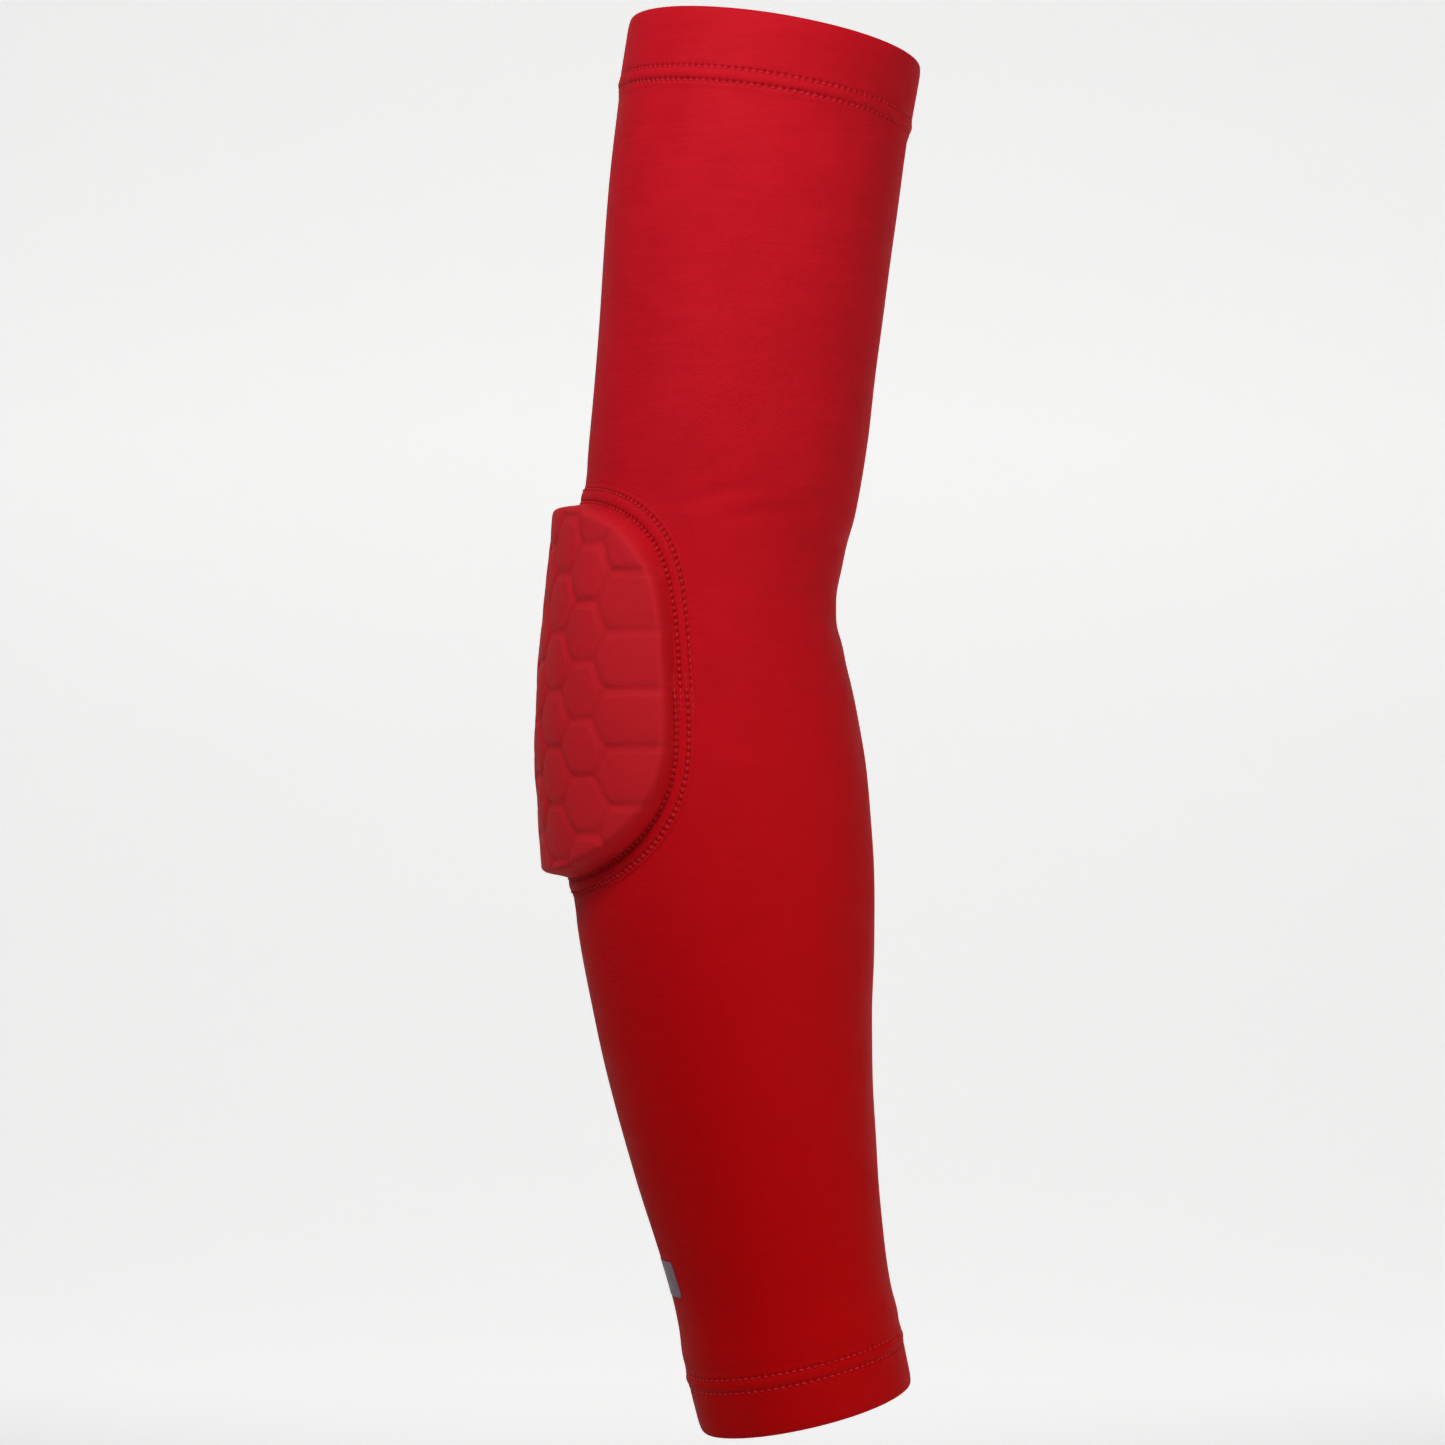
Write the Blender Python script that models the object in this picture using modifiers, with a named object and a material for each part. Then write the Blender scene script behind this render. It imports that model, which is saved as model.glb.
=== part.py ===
"""A padded compression sleeve for the elbow and forearm, as it sits on a slightly bent arm.

The model is in metres. Its origin is on the elbow's bending axis, +Z runs up the arm, +X points to the
crease of the elbow, -X to the point of the elbow, and -Y to the outside of the arm. Sizes below are in
millimetres, and angles round the arm ("turns") start at -X and grow towards -Y.
"""

import math

import bmesh
import bpy
from mathutils import Vector

MM = 0.001

# The sleeve on the arm
UPPER_RIM = 177.2
WRIST_RIM = -231.4
GIRTH_GRADE = 1.0  # girth against this size's own, so that a larger size is a larger grade
KNIT_THICKNESS = 0.8
GAP = 0.3  # between pieces that touch
SLEEVE_FACET = 8.0  # at most, round the widest ring
RING_SPACING = 20.0

# Height, lean of the centre line towards the crease, half width from point to crease, half depth
ARM_STATIONS = (
    (178.0, 21.2, 43.9, 44.5),
    (156.0, 17.7, 43.7, 44.2),
    (130.0, 14.4, 43.3, 43.5),
    (85.0, 9.8, 42.0, 42.0),
    (50.0, 5.8, 41.2, 41.5),
    (25.0, 1.8, 39.6, 41.0),
    (5.0, -0.2, 39.8, 41.5),
    (-20.0, 1.0, 43.5, 43.0),
    (-50.0, 3.8, 45.5, 44.5),
    (-85.0, 6.4, 44.6, 44.0),
    (-120.0, 9.5, 40.9, 41.0),
    (-155.0, 15.1, 36.6, 37.0),
    (-190.0, 21.8, 32.8, 33.5),
    (-212.0, 26.0, 32.4, 33.0),
    (-232.0, 30.5, 32.0, 32.5),
)

# The pad over the point of the elbow, on its unrolled sheet
PAD_CENTRE = -17.0
PAD_HALF_WIDTH = 75.5  # to the outer row of the seam
PAD_HALF_HEIGHT = 60.0
PAD_SQUARENESS_ABOVE = 3.1  # exponent of the outline's superellipse, where 2 is an ellipse
PAD_SQUARENESS_BELOW = 2.55
FOAM_THICKNESS = 6.6
FOAM_INSET = 7.0  # from the seam's outer row to the foam's edge
FOAM_SIDE_CLEARANCE = 1.2
COVER_THICKNESS = 0.6
LINING_THICKNESS = 0.5
LAMINATE_GAP = 0.4
SEAM_MARGIN = 1.6  # fabric beyond the seam's outer row
OUTLINE_POINTS = 48
LONGEST_FACET = 10.0
LEVEL_STEPS = 8

# The honeycomb pressed into the foam
HEX_ACROSS_FLATS = 16.6
HEX_SHIFT_ROUND = -3.2
HEX_SHIFT_UP = 8.8
GROOVE_HALF_WIDTH = 1.4
GROOVE_DEPTH = 1.3
SMALLEST_CELL = 6.0  # square millimetres
SMALLEST_RAISED_CELL = 60.0
END_COLUMN_SHARE = 0.2  # of a column's pitch, which the last column's centre keeps from the edge

# Seams
THREAD_DIAMETER = 0.5
SEAM_ROW_GAP = 3.9
LOOPER_THICKNESS = 0.4
UPPER_HEM_DEPTH = 17.2  # from the rim to the nearer row
WRIST_HEM_DEPTH = 13.2
HEM_MARGIN = 1.6  # of turned-in knit beyond the farther row
SIDE_SEAM_TURN = math.radians(-118.0)
SIDE_SEAM_WIDTH = 5.0
PAD_SEAM_POINTS = 56

# Silicone strips printed inside the upper hem
GRIP_STRIPS = 3
GRIP_STRIP_WIDTH = 2.0
GRIP_STRIP_PITCH = 4.2
GRIP_FIRST_STRIP = 4.0  # from the rim to the first strip's middle
GRIP_THICKNESS = 0.5

# Plain printed bar near the wrist
BAR_HEIGHT_ON_ARM = -185.5
BAR_WIDTH = 31.0
BAR_HEIGHT = 11.0
BAR_THICKNESS = 0.3
BAR_FACET = 3.5

# Where the sleeve changes from one body to the next
STRAIGHTENING_CLEARANCE = 18.0  # from the pad's top to the rigid upper part, for the arm to straighten
FOREARM_TOP = -62.0

PAD_TOP = PAD_CENTRE + PAD_HALF_HEIGHT + SEAM_MARGIN
UPPER_BOTTOM = PAD_TOP + STRAIGHTENING_CLEARANCE
LINING_LIFT = LAMINATE_GAP
FOAM_LIFT = LINING_LIFT + LINING_THICKNESS + LAMINATE_GAP
COVER_LIFT = FOAM_LIFT + FOAM_THICKNESS + LAMINATE_GAP + COVER_THICKNESS
FLANGE_LIFT = LINING_LIFT + LINING_THICKNESS + LAMINATE_GAP + COVER_THICKNESS
HEM_LIFT = -KNIT_THICKNESS - GAP
INSIDE_HEM_LIFT = HEM_LIFT - KNIT_THICKNESS - GAP
INSIDE_SLEEVE_LIFT = -KNIT_THICKNESS - GAP


def reset_scene():
    for obj in list(bpy.data.objects):
        bpy.data.objects.remove(obj, do_unlink=True)


def collection_named(name):
    made = bpy.data.collections.new(name)
    bpy.context.scene.collection.children.link(made)
    return made


def material(name, colour, roughness, metallic=0.0):
    made = bpy.data.materials.new(name)
    made.use_nodes = True
    shader = made.node_tree.nodes["Principled BSDF"]
    shader.inputs["Base Color"].default_value = (*colour, 1.0)
    shader.inputs["Roughness"].default_value = roughness
    shader.inputs["Metallic"].default_value = metallic
    return made


# The arm's surface, which is the sleeve's outer face


def through_stations(height, column):
    """A station value and its slope at a height, on a cubic curve that runs on straight past both ends."""
    rows = sorted(ARM_STATIONS)
    heights = [row[0] for row in rows]
    values = [row[column] for row in rows]
    last = len(rows) - 1
    slopes = []
    for i in range(len(rows)):
        low, high = max(i - 1, 0), min(i + 1, last)
        slopes.append((values[high] - values[low]) / (heights[high] - heights[low]))
    if height <= heights[0]:
        return values[0] + slopes[0] * (height - heights[0]), slopes[0]
    if height >= heights[last]:
        return values[last] + slopes[last] * (height - heights[last]), slopes[last]
    i = max(j for j in range(last) if heights[j] <= height)
    span = heights[i + 1] - heights[i]
    t = (height - heights[i]) / span
    rise = (values[i + 1] - values[i]) / span
    square = 3.0 * rise - 2.0 * slopes[i] - slopes[i + 1]
    cube = slopes[i] + slopes[i + 1] - 2.0 * rise
    value = values[i] + span * t * (slopes[i] + t * (square + t * cube))
    return value, slopes[i] + t * (2.0 * square + 3.0 * t * cube)


def half_width(height):
    return GIRTH_GRADE * through_stations(height, 2)[0]


def half_depth(height):
    return GIRTH_GRADE * through_stations(height, 3)[0]


def turns_round_arm():
    """The turns of a ring's corners, a multiple of four so that each side of the arm has one."""
    widest = max(half_width(row[0]) for row in ARM_STATIONS)
    count = 4 * math.ceil(math.tau * widest / SLEEVE_FACET / 4.0)
    return [math.tau * i / count for i in range(count)]


def on_arm(turn, height, lift=0.0):
    """The point at a turn round the arm and a height along it, lifted off the sleeve's outer face."""
    lean, slope = through_stations(height, 1)
    tilt = math.atan(slope)
    across = -(half_width(height) + lift) * math.cos(turn)
    depth = -(half_depth(height) + lift) * math.sin(turn)
    x = lean + across * math.cos(tilt)
    z = height - across * math.sin(tilt)
    return Vector((x, depth, z)) * MM


def section_through(turn, level, lift):
    """The height on the centre line of the section that passes a level at this turn, found by repetition."""
    height = level
    for _ in range(LEVEL_STEPS):
        tilt = math.atan(through_stations(height, 1)[1])
        height = level - (half_width(height) + lift) * math.cos(turn) * math.sin(tilt)
    return height


def wrap_radius():
    """The radius at which the pad's sheet is unrolled: the tops of its cells."""
    return half_width(PAD_CENTRE) + COVER_LIFT


def on_pad(round_arm, up, lift):
    """The arm's point for a point of the pad's unrolled sheet."""
    turn = round_arm / wrap_radius()
    return on_arm(turn, section_through(turn, PAD_CENTRE + up, 0.0), lift)


# Objects


def object_from_bmesh(name, bm, finish, smooth_angle=40.0):
    mesh = bpy.data.meshes.new(name)
    bmesh.ops.recalc_face_normals(bm, faces=bm.faces)
    if bm.calc_volume(signed=True) < 0.0 and not any(edge.is_boundary for edge in bm.edges):
        bmesh.ops.reverse_faces(bm, faces=bm.faces)
    bm.to_mesh(mesh)
    bm.free()
    mesh.materials.append(finish)
    mesh.shade_smooth()
    mesh.set_sharp_from_angle(angle=math.radians(smooth_angle))
    obj = bpy.data.objects.new(name, mesh)
    parts.objects.link(obj)
    return obj


def add_inward_thickness(obj, thickness):
    shell = obj.modifiers.new("Thickness", "SOLIDIFY")
    shell.thickness = thickness * MM
    shell.offset = -1.0
    return obj


def face_outwards(obj):
    """Turns an open sheet's faces away from the arm's centre line."""
    bm = bmesh.new()
    bm.from_mesh(obj.data)
    facing = 0.0
    for face in bm.faces:
        middle = face.calc_center_median()
        lean = through_stations(middle.z / MM, 1)[0] * MM
        facing += face.normal.dot(middle - Vector((lean, 0.0, middle.z))) * face.calc_area()
    if facing < 0.0:
        bmesh.ops.reverse_faces(bm, faces=bm.faces)
    bm.to_mesh(obj.data)
    bm.free()
    return obj


def loft(name, low, high, lift, thickness, finish):
    """A tube of fabric round the arm between two heights."""
    spans = max(1, math.ceil((high - low) / RING_SPACING))
    turns = turns_round_arm()
    bm = bmesh.new()
    rings = []
    for i in range(spans + 1):
        height = low + (high - low) * i / spans
        rings.append([bm.verts.new(on_arm(turn, height, lift)) for turn in turns])
    for below, above in zip(rings, rings[1:]):
        for j in range(len(turns)):
            k = (j + 1) % len(turns)
            bm.faces.new((below[j], below[k], above[k], above[j]))
    obj = face_outwards(object_from_bmesh(name, bm, finish))
    return add_inward_thickness(obj, thickness)


def strip(name, low, high, turn, width, lift, thickness, finish):
    """A narrow ribbon up the arm at one turn."""
    spans = max(1, math.ceil((high - low) / RING_SPACING))
    bm = bmesh.new()
    bmesh.ops.create_grid(bm, x_segments=2, y_segments=spans, size=0.5)
    for vert in bm.verts:
        height = low + (high - low) * (vert.co.y + 0.5)
        offset = vert.co.x * width / half_width(height)
        vert.co = on_arm(turn + offset, height, lift)
    obj = face_outwards(object_from_bmesh(name, bm, finish))
    return add_inward_thickness(obj, thickness)


def closed_thread(name, points, finish):
    """A thread that runs round and meets itself."""
    curve = bpy.data.curves.new(name, "CURVE")
    curve.dimensions = "3D"
    curve.bevel_depth = THREAD_DIAMETER / 2.0 * MM
    curve.bevel_resolution = 0
    spline = curve.splines.new("POLY")
    spline.points.add(len(points) - 1)
    for slot, point in zip(spline.points, points):
        slot.co = (*point, 1.0)
    spline.use_cyclic_u = True
    curve.materials.append(finish)
    obj = bpy.data.objects.new(name, curve)
    parts.objects.link(obj)
    return obj


def thread_round_arm(name, height, finish):
    lift = GAP + THREAD_DIAMETER / 2.0
    return closed_thread(name, [on_arm(turn, height, lift) for turn in turns_round_arm()], finish)


# The pad's flat pattern


def pad_outline(inset, count):
    """Points of the pad's outline on its unrolled sheet, inset from the seam's outer row."""
    wide = PAD_HALF_WIDTH - inset
    tall = PAD_HALF_HEIGHT - inset
    points = []
    for i in range(count):
        angle = 2.0 * math.pi * i / count
        c, s = math.cos(angle), math.sin(angle)
        power = 2.0 / (PAD_SQUARENESS_ABOVE if s > 0.0 else PAD_SQUARENESS_BELOW)
        x = wide * math.copysign(abs(c) ** power, c)
        y = tall * math.copysign(abs(s) ** power, s)
        points.append((x, y))
    return points


def evenly_spaced(points, count):
    """A closed outline's points, spaced evenly along it."""
    ends = points[1:] + points[:1]
    lengths = [math.dist(a, b) for a, b in zip(points, ends)]
    whole = sum(lengths)
    spaced = []
    i, passed = 0, 0.0
    for k in range(count):
        wanted = whole * k / count
        while passed + lengths[i] < wanted:
            passed += lengths[i]
            i += 1
        t = (wanted - passed) / lengths[i]
        a, b = points[i], ends[i]
        spaced.append((a[0] + (b[0] - a[0]) * t, a[1] + (b[1] - a[1]) * t))
    return spaced


def even_outline(inset, count):
    return evenly_spaced(pad_outline(inset, 8 * count), count)


def column_pitch():
    return HEX_ACROSS_FLATS * math.sqrt(3.0) / 2.0


def cell_corners(column, row, runs_out):
    """A cell's corners, anticlockwise. An end column's cell runs straight out past the pad's edge."""
    side = HEX_ACROSS_FLATS / math.sqrt(3.0)
    x = HEX_SHIFT_ROUND + column * column_pitch()
    y = HEX_SHIFT_UP + (row + 0.5 * (column % 2)) * HEX_ACROSS_FLATS
    half = HEX_ACROSS_FLATS / 2.0
    far = 2.0 * PAD_HALF_WIDTH
    if runs_out > 0:
        return [(x + far, y + half), (x - side / 2, y + half), (x - side, y), (x - side / 2, y - half),
                (x + far, y - half)]
    if runs_out < 0:
        return [(x - far, y - half), (x + side / 2, y - half), (x + side, y), (x + side / 2, y + half),
                (x - far, y + half)]
    angles = [math.radians(60.0 * i) for i in range(6)]
    return [(x + side * math.cos(a), y + side * math.sin(a)) for a in angles]


def clipped(outline, corners):
    """The part of a convex outline that lies inside a convex anticlockwise cell."""
    kept = outline
    for (ax, ay), (bx, by) in zip(corners, corners[1:] + corners[:1]):
        inside = [(bx - ax) * (y - ay) - (by - ay) * (x - ax) for x, y in kept]
        found = []
        for i, point in enumerate(kept):
            j = (i + 1) % len(kept)
            if inside[i] >= 0.0:
                found.append(point)
            if (inside[i] >= 0.0) != (inside[j] >= 0.0):
                t = inside[i] / (inside[i] - inside[j])
                x = point[0] + (kept[j][0] - point[0]) * t
                y = point[1] + (kept[j][1] - point[1]) * t
                found.append((x, y))
        kept = found
        if not kept:
            break
    return kept


def area(points):
    ends = points[1:] + points[:1]
    return sum(a[0] * b[1] - b[0] * a[1] for a, b in zip(points, ends)) / 2.0


def end_column(direction):
    """The number of the last column on one side of the middle one."""
    room = PAD_HALF_WIDTH - FOAM_INSET - direction * HEX_SHIFT_ROUND
    return direction * math.floor(room / column_pitch() - END_COLUMN_SHARE)


def flat_cells(inset):
    """A bmesh of the honeycomb's cells, cut off at the pad's outline, flat on its unrolled sheet."""
    outline = even_outline(inset, OUTLINE_POINTS)
    first, last = end_column(-1), end_column(1)
    rows = math.ceil(PAD_HALF_HEIGHT / HEX_ACROSS_FLATS) + 1
    bm = bmesh.new()
    for column in range(first, last + 1):
        runs_out = (column == last) - (column == first)
        for row in range(-rows, rows + 1):
            cell = clipped(outline, cell_corners(column, row, runs_out))
            if len(cell) > 2 and area(cell) > SMALLEST_CELL:
                bm.faces.new([bm.verts.new((x, y, 0.0)) for x, y in cell])
    bmesh.ops.remove_doubles(bm, verts=bm.verts, dist=0.02)
    return bm


def press_honeycomb(bm, faces, to_lift):
    """Raises each cell's middle above the grooves, up to a lift."""
    raised = [face for face in faces if face.calc_area() > SMALLEST_RAISED_CELL]
    bmesh.ops.inset_individual(bm, faces=raised, thickness=GROOVE_HALF_WIDTH, use_even_offset=True)
    for vert in {vert for face in raised for vert in face.verts}:
        vert.co.z = to_lift
    bmesh.ops.poke(bm, faces=raised)


def split_long_facets(bm):
    """Splits what is too long to follow the arm's curve."""
    bmesh.ops.triangulate(bm, faces=bm.faces)
    long = [edge for edge in bm.edges if edge.calc_length() > LONGEST_FACET]
    bmesh.ops.subdivide_edges(bm, edges=long, cuts=1)
    bmesh.ops.triangulate(bm, faces=bm.faces)


def wrap_on_arm(bm):
    for vert in bm.verts:
        vert.co = on_pad(*vert.co)


def set_lift(verts, lift):
    for vert in verts:
        vert.co.z = lift


def extrude_rim(bm, outward, lift):
    """Grows a sheet's open edge outwards on the flat pattern, to a lift."""
    rim = [edge for edge in bm.edges if edge.is_boundary]
    grown = bmesh.ops.extrude_edge_only(bm, edges=rim)["geom"]
    for vert in [item for item in grown if isinstance(item, bmesh.types.BMVert)]:
        wide = PAD_HALF_WIDTH - FOAM_INSET
        tall = PAD_HALF_HEIGHT - FOAM_INSET
        x, y = vert.co.x / wide, vert.co.y / tall
        power = PAD_SQUARENESS_ABOVE if y > 0.0 else PAD_SQUARENESS_BELOW
        away = Vector((math.copysign(abs(x) ** (power - 1.0), x) / wide,
                       math.copysign(abs(y) ** (power - 1.0), y) / tall, 0.0))
        vert.co += away.normalized() * outward
        vert.co.z = lift


# The pieces


def make_pad_lining(finish):
    bm = flat_cells(FOAM_INSET)
    bmesh.ops.poke(bm, faces=bm.faces)
    set_lift(bm.verts, LINING_LIFT + LINING_THICKNESS)
    extrude_rim(bm, FOAM_INSET + SEAM_MARGIN, LINING_LIFT + LINING_THICKNESS)
    split_long_facets(bm)
    wrap_on_arm(bm)
    obj = face_outwards(object_from_bmesh("pad_lining", bm, finish))
    return add_inward_thickness(obj, LINING_THICKNESS)


def make_foam_pad(finish):
    bm = flat_cells(FOAM_INSET)
    cells = list(bm.faces)
    raised = bmesh.ops.extrude_face_region(bm, geom=cells, use_keep_orig=True)["geom"]
    tops = [item for item in raised if isinstance(item, bmesh.types.BMFace)]
    set_lift(bm.verts, FOAM_LIFT)
    set_lift({vert for face in tops for vert in face.verts}, FOAM_LIFT + FOAM_THICKNESS - GROOVE_DEPTH)
    press_honeycomb(bm, tops, FOAM_LIFT + FOAM_THICKNESS)
    bmesh.ops.poke(bm, faces=[face for face in cells if face.is_valid])
    split_long_facets(bm)
    wrap_on_arm(bm)
    return object_from_bmesh("foam_pad", bm, finish)


def make_pad_cover(finish):
    bm = flat_cells(FOAM_INSET - FOAM_SIDE_CLEARANCE)
    set_lift(bm.verts, COVER_LIFT - GROOVE_DEPTH)
    press_honeycomb(bm, list(bm.faces), COVER_LIFT)
    extrude_rim(bm, FOAM_SIDE_CLEARANCE, FLANGE_LIFT)
    extrude_rim(bm, FOAM_INSET - 2.0 * FOAM_SIDE_CLEARANCE + SEAM_MARGIN, FLANGE_LIFT)
    split_long_facets(bm)
    wrap_on_arm(bm)
    obj = face_outwards(object_from_bmesh("pad_cover", bm, finish))
    return add_inward_thickness(obj, COVER_THICKNESS)


def make_pad_seam(finish):
    lift = FLANGE_LIFT + GAP + THREAD_DIAMETER / 2.0
    for name, inset in (("pad_seam_thread_outer", 0.0), ("pad_seam_thread_inner", SEAM_ROW_GAP)):
        row = even_outline(inset, PAD_SEAM_POINTS)
        closed_thread(name, [on_pad(x, y, lift) for x, y in row], finish)
    bm = bmesh.new()
    outer = even_outline(0.0, PAD_SEAM_POINTS)
    inner = even_outline(SEAM_ROW_GAP, PAD_SEAM_POINTS)
    rows = [[bm.verts.new(on_pad(x, y, INSIDE_SLEEVE_LIFT)) for x, y in row] for row in (outer, inner)]
    for i in range(PAD_SEAM_POINTS):
        j = (i + 1) % PAD_SEAM_POINTS
        bm.faces.new((rows[0][i], rows[0][j], rows[1][j], rows[1][i]))
    obj = face_outwards(object_from_bmesh("pad_seam_looper_thread", bm, finish))
    add_inward_thickness(obj, LOOPER_THICKNESS)


def make_sleeve(knit):
    loft("upper_sleeve", UPPER_BOTTOM, UPPER_RIM, 0.0, KNIT_THICKNESS, knit)
    loft("elbow_sleeve", FOREARM_TOP + GAP, UPPER_BOTTOM - GAP, 0.0, KNIT_THICKNESS, knit)
    loft("forearm_sleeve", WRIST_RIM, FOREARM_TOP, 0.0, KNIT_THICKNESS, knit)


def make_hem(name, rim, into_sleeve, depth, knit, thread):
    """A turned-in hem with two needle rows outside and the looper thread inside, from the rim inwards."""
    near_row = rim + into_sleeve * depth
    far_row = rim + into_sleeve * (depth + SEAM_ROW_GAP)
    end = far_row + into_sleeve * HEM_MARGIN
    loft(name + "_turn_in", min(rim, end), max(rim, end), HEM_LIFT, KNIT_THICKNESS, knit)
    thread_round_arm(name + "_thread_near_rim", near_row, thread)
    thread_round_arm(name + "_thread_far_row", far_row, thread)
    low, high = min(near_row, far_row), max(near_row, far_row)
    loft(name + "_looper_thread", low, high, INSIDE_HEM_LIFT, LOOPER_THICKNESS, thread)


def make_side_seam(thread):
    """The flatlock seam that closes the knit into a tube, between the hems' rows."""
    lift = GAP + LOOPER_THICKNESS
    clear = SEAM_ROW_GAP + THREAD_DIAMETER + GAP
    top = UPPER_RIM - UPPER_HEM_DEPTH - clear
    bottom = WRIST_RIM + WRIST_HEM_DEPTH + clear
    stretches = (
        ("side_seam_upper", UPPER_BOTTOM, top),
        ("side_seam_elbow", FOREARM_TOP + GAP, UPPER_BOTTOM - GAP),
        ("side_seam_forearm", bottom, FOREARM_TOP),
    )
    for name, low, high in stretches:
        strip(name, low, high, SIDE_SEAM_TURN, SIDE_SEAM_WIDTH, lift, LOOPER_THICKNESS, thread)


def make_grip_strips(silicone):
    for i in range(GRIP_STRIPS):
        middle = UPPER_RIM - GRIP_FIRST_STRIP - i * GRIP_STRIP_PITCH
        low = middle - GRIP_STRIP_WIDTH / 2.0
        name = f"grip_strip_{i + 1}"
        loft(name, low, low + GRIP_STRIP_WIDTH, INSIDE_HEM_LIFT, GRIP_THICKNESS, silicone)


def make_printed_bar(ink):
    """A plain bar across the outer side of the wrist."""
    bm = bmesh.new()
    facets = math.ceil(BAR_WIDTH / BAR_FACET)
    bmesh.ops.create_grid(bm, x_segments=facets, y_segments=1, size=0.5)
    for vert in bm.verts:
        height = BAR_HEIGHT_ON_ARM + vert.co.y * BAR_HEIGHT
        turn = vert.co.x * BAR_WIDTH / half_width(height)
        vert.co = on_arm(turn, height, GAP + BAR_THICKNESS)
    add_inward_thickness(face_outwards(object_from_bmesh("printed_bar", bm, ink)), BAR_THICKNESS)


def main():
    knit = material("compression_knit", (0.45, 0.008, 0.020), 0.75)
    cover = material("pad_cover_fabric", (0.42, 0.016, 0.026), 0.8)
    lining = material("lining_fabric", (0.08, 0.08, 0.085), 0.85)
    foam = material("eva_foam", (0.05, 0.05, 0.055), 0.9)
    thread = material("sewing_thread", (0.30, 0.006, 0.014), 0.6)
    silicone = material("silicone", (0.75, 0.75, 0.76), 0.35)
    ink = material("transfer_ink", (0.36, 0.37, 0.39), 0.5)

    make_sleeve(knit)
    make_hem("upper_hem", UPPER_RIM, -1.0, UPPER_HEM_DEPTH, knit, thread)
    make_hem("wrist_hem", WRIST_RIM, 1.0, WRIST_HEM_DEPTH, knit, thread)
    make_side_seam(thread)
    make_grip_strips(silicone)
    make_pad_lining(lining)
    make_foam_pad(foam)
    make_pad_cover(cover)
    make_pad_seam(thread)
    make_printed_bar(ink)


reset_scene()
parts = collection_named("padded_arm_sleeve")
main()
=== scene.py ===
"""The looks of a padded compression sleeve for the elbow and forearm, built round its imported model.

Sizes are in millimetres until a mesh is made. A turn round the arm is in radians: it starts at the point of
the elbow and grows towards -Y. A height is measured up the arm's centre line. A lift is a distance out from
the sleeve's outer face. The pad is laid out on its unrolled sheet: x round the arm, y up it.
"""

import math

import bpy
import numpy as np
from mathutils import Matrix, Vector


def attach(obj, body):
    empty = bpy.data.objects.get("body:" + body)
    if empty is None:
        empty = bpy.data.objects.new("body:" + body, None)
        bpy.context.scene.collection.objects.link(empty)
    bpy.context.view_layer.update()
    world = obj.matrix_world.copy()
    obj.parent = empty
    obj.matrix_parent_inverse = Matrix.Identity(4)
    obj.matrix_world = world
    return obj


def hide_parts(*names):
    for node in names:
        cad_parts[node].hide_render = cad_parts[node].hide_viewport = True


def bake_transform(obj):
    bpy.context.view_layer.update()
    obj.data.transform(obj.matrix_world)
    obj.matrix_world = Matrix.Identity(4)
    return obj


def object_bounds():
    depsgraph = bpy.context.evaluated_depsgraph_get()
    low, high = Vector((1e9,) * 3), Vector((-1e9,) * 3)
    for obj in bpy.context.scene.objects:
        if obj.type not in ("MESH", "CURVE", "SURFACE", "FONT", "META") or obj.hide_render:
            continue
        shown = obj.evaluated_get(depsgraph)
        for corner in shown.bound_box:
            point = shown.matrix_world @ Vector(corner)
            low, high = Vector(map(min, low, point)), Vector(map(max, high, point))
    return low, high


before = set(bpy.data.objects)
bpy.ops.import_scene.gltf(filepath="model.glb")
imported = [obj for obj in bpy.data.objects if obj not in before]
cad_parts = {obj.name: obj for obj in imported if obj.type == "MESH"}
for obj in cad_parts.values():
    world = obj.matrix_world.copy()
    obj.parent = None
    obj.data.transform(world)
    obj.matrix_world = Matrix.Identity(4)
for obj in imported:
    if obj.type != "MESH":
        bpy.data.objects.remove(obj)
cad_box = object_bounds()

MM = 0.001

# Sizes that the model was built with
KNIT_THICKNESS = 0.8
COVER_THICKNESS = 0.6
LINING_THICKNESS = 0.5
FOAM_THICKNESS = 6.6
LAMINATE_GAP = 0.4
LAYER_GAP = 0.3
PAD_CENTRE = -17.0
PAD_HALF_WIDTH = 75.5
PAD_HALF_HEIGHT = 60.0
PAD_SQUARENESS_ABOVE = 3.1
PAD_SQUARENESS_BELOW = 2.55
FOAM_INSET = 7.0
SEAM_MARGIN = 1.6
SEAM_ROW_GAP = 3.9
HEX_ACROSS_FLATS = 16.6
HEX_SHIFT_ROUND = -3.2
HEX_SHIFT_UP = 8.8
END_COLUMN_SHARE = 0.2
UPPER_HEM_DEPTH = 17.2
WRIST_HEM_DEPTH = 13.2
HEM_MARGIN = 1.6
SIDE_SEAM_TURN = math.radians(-118.0)
SIDE_SEAM_WIDTH = 5.0
GRIP_STRIP_WIDTH = 2.0
GRIP_STRIP_PITCH = 4.2
GRIP_FIRST_STRIP = 4.0
BAR_HEIGHT_ON_ARM = -185.5
BAR_WIDTH = 31.0
BAR_HEIGHT = 11.0

LINING_LIFT = LAMINATE_GAP
FOAM_LIFT = LINING_LIFT + LINING_THICKNESS + LAMINATE_GAP
COVER_LIFT = FOAM_LIFT + FOAM_THICKNESS + LAMINATE_GAP + COVER_THICKNESS

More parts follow.
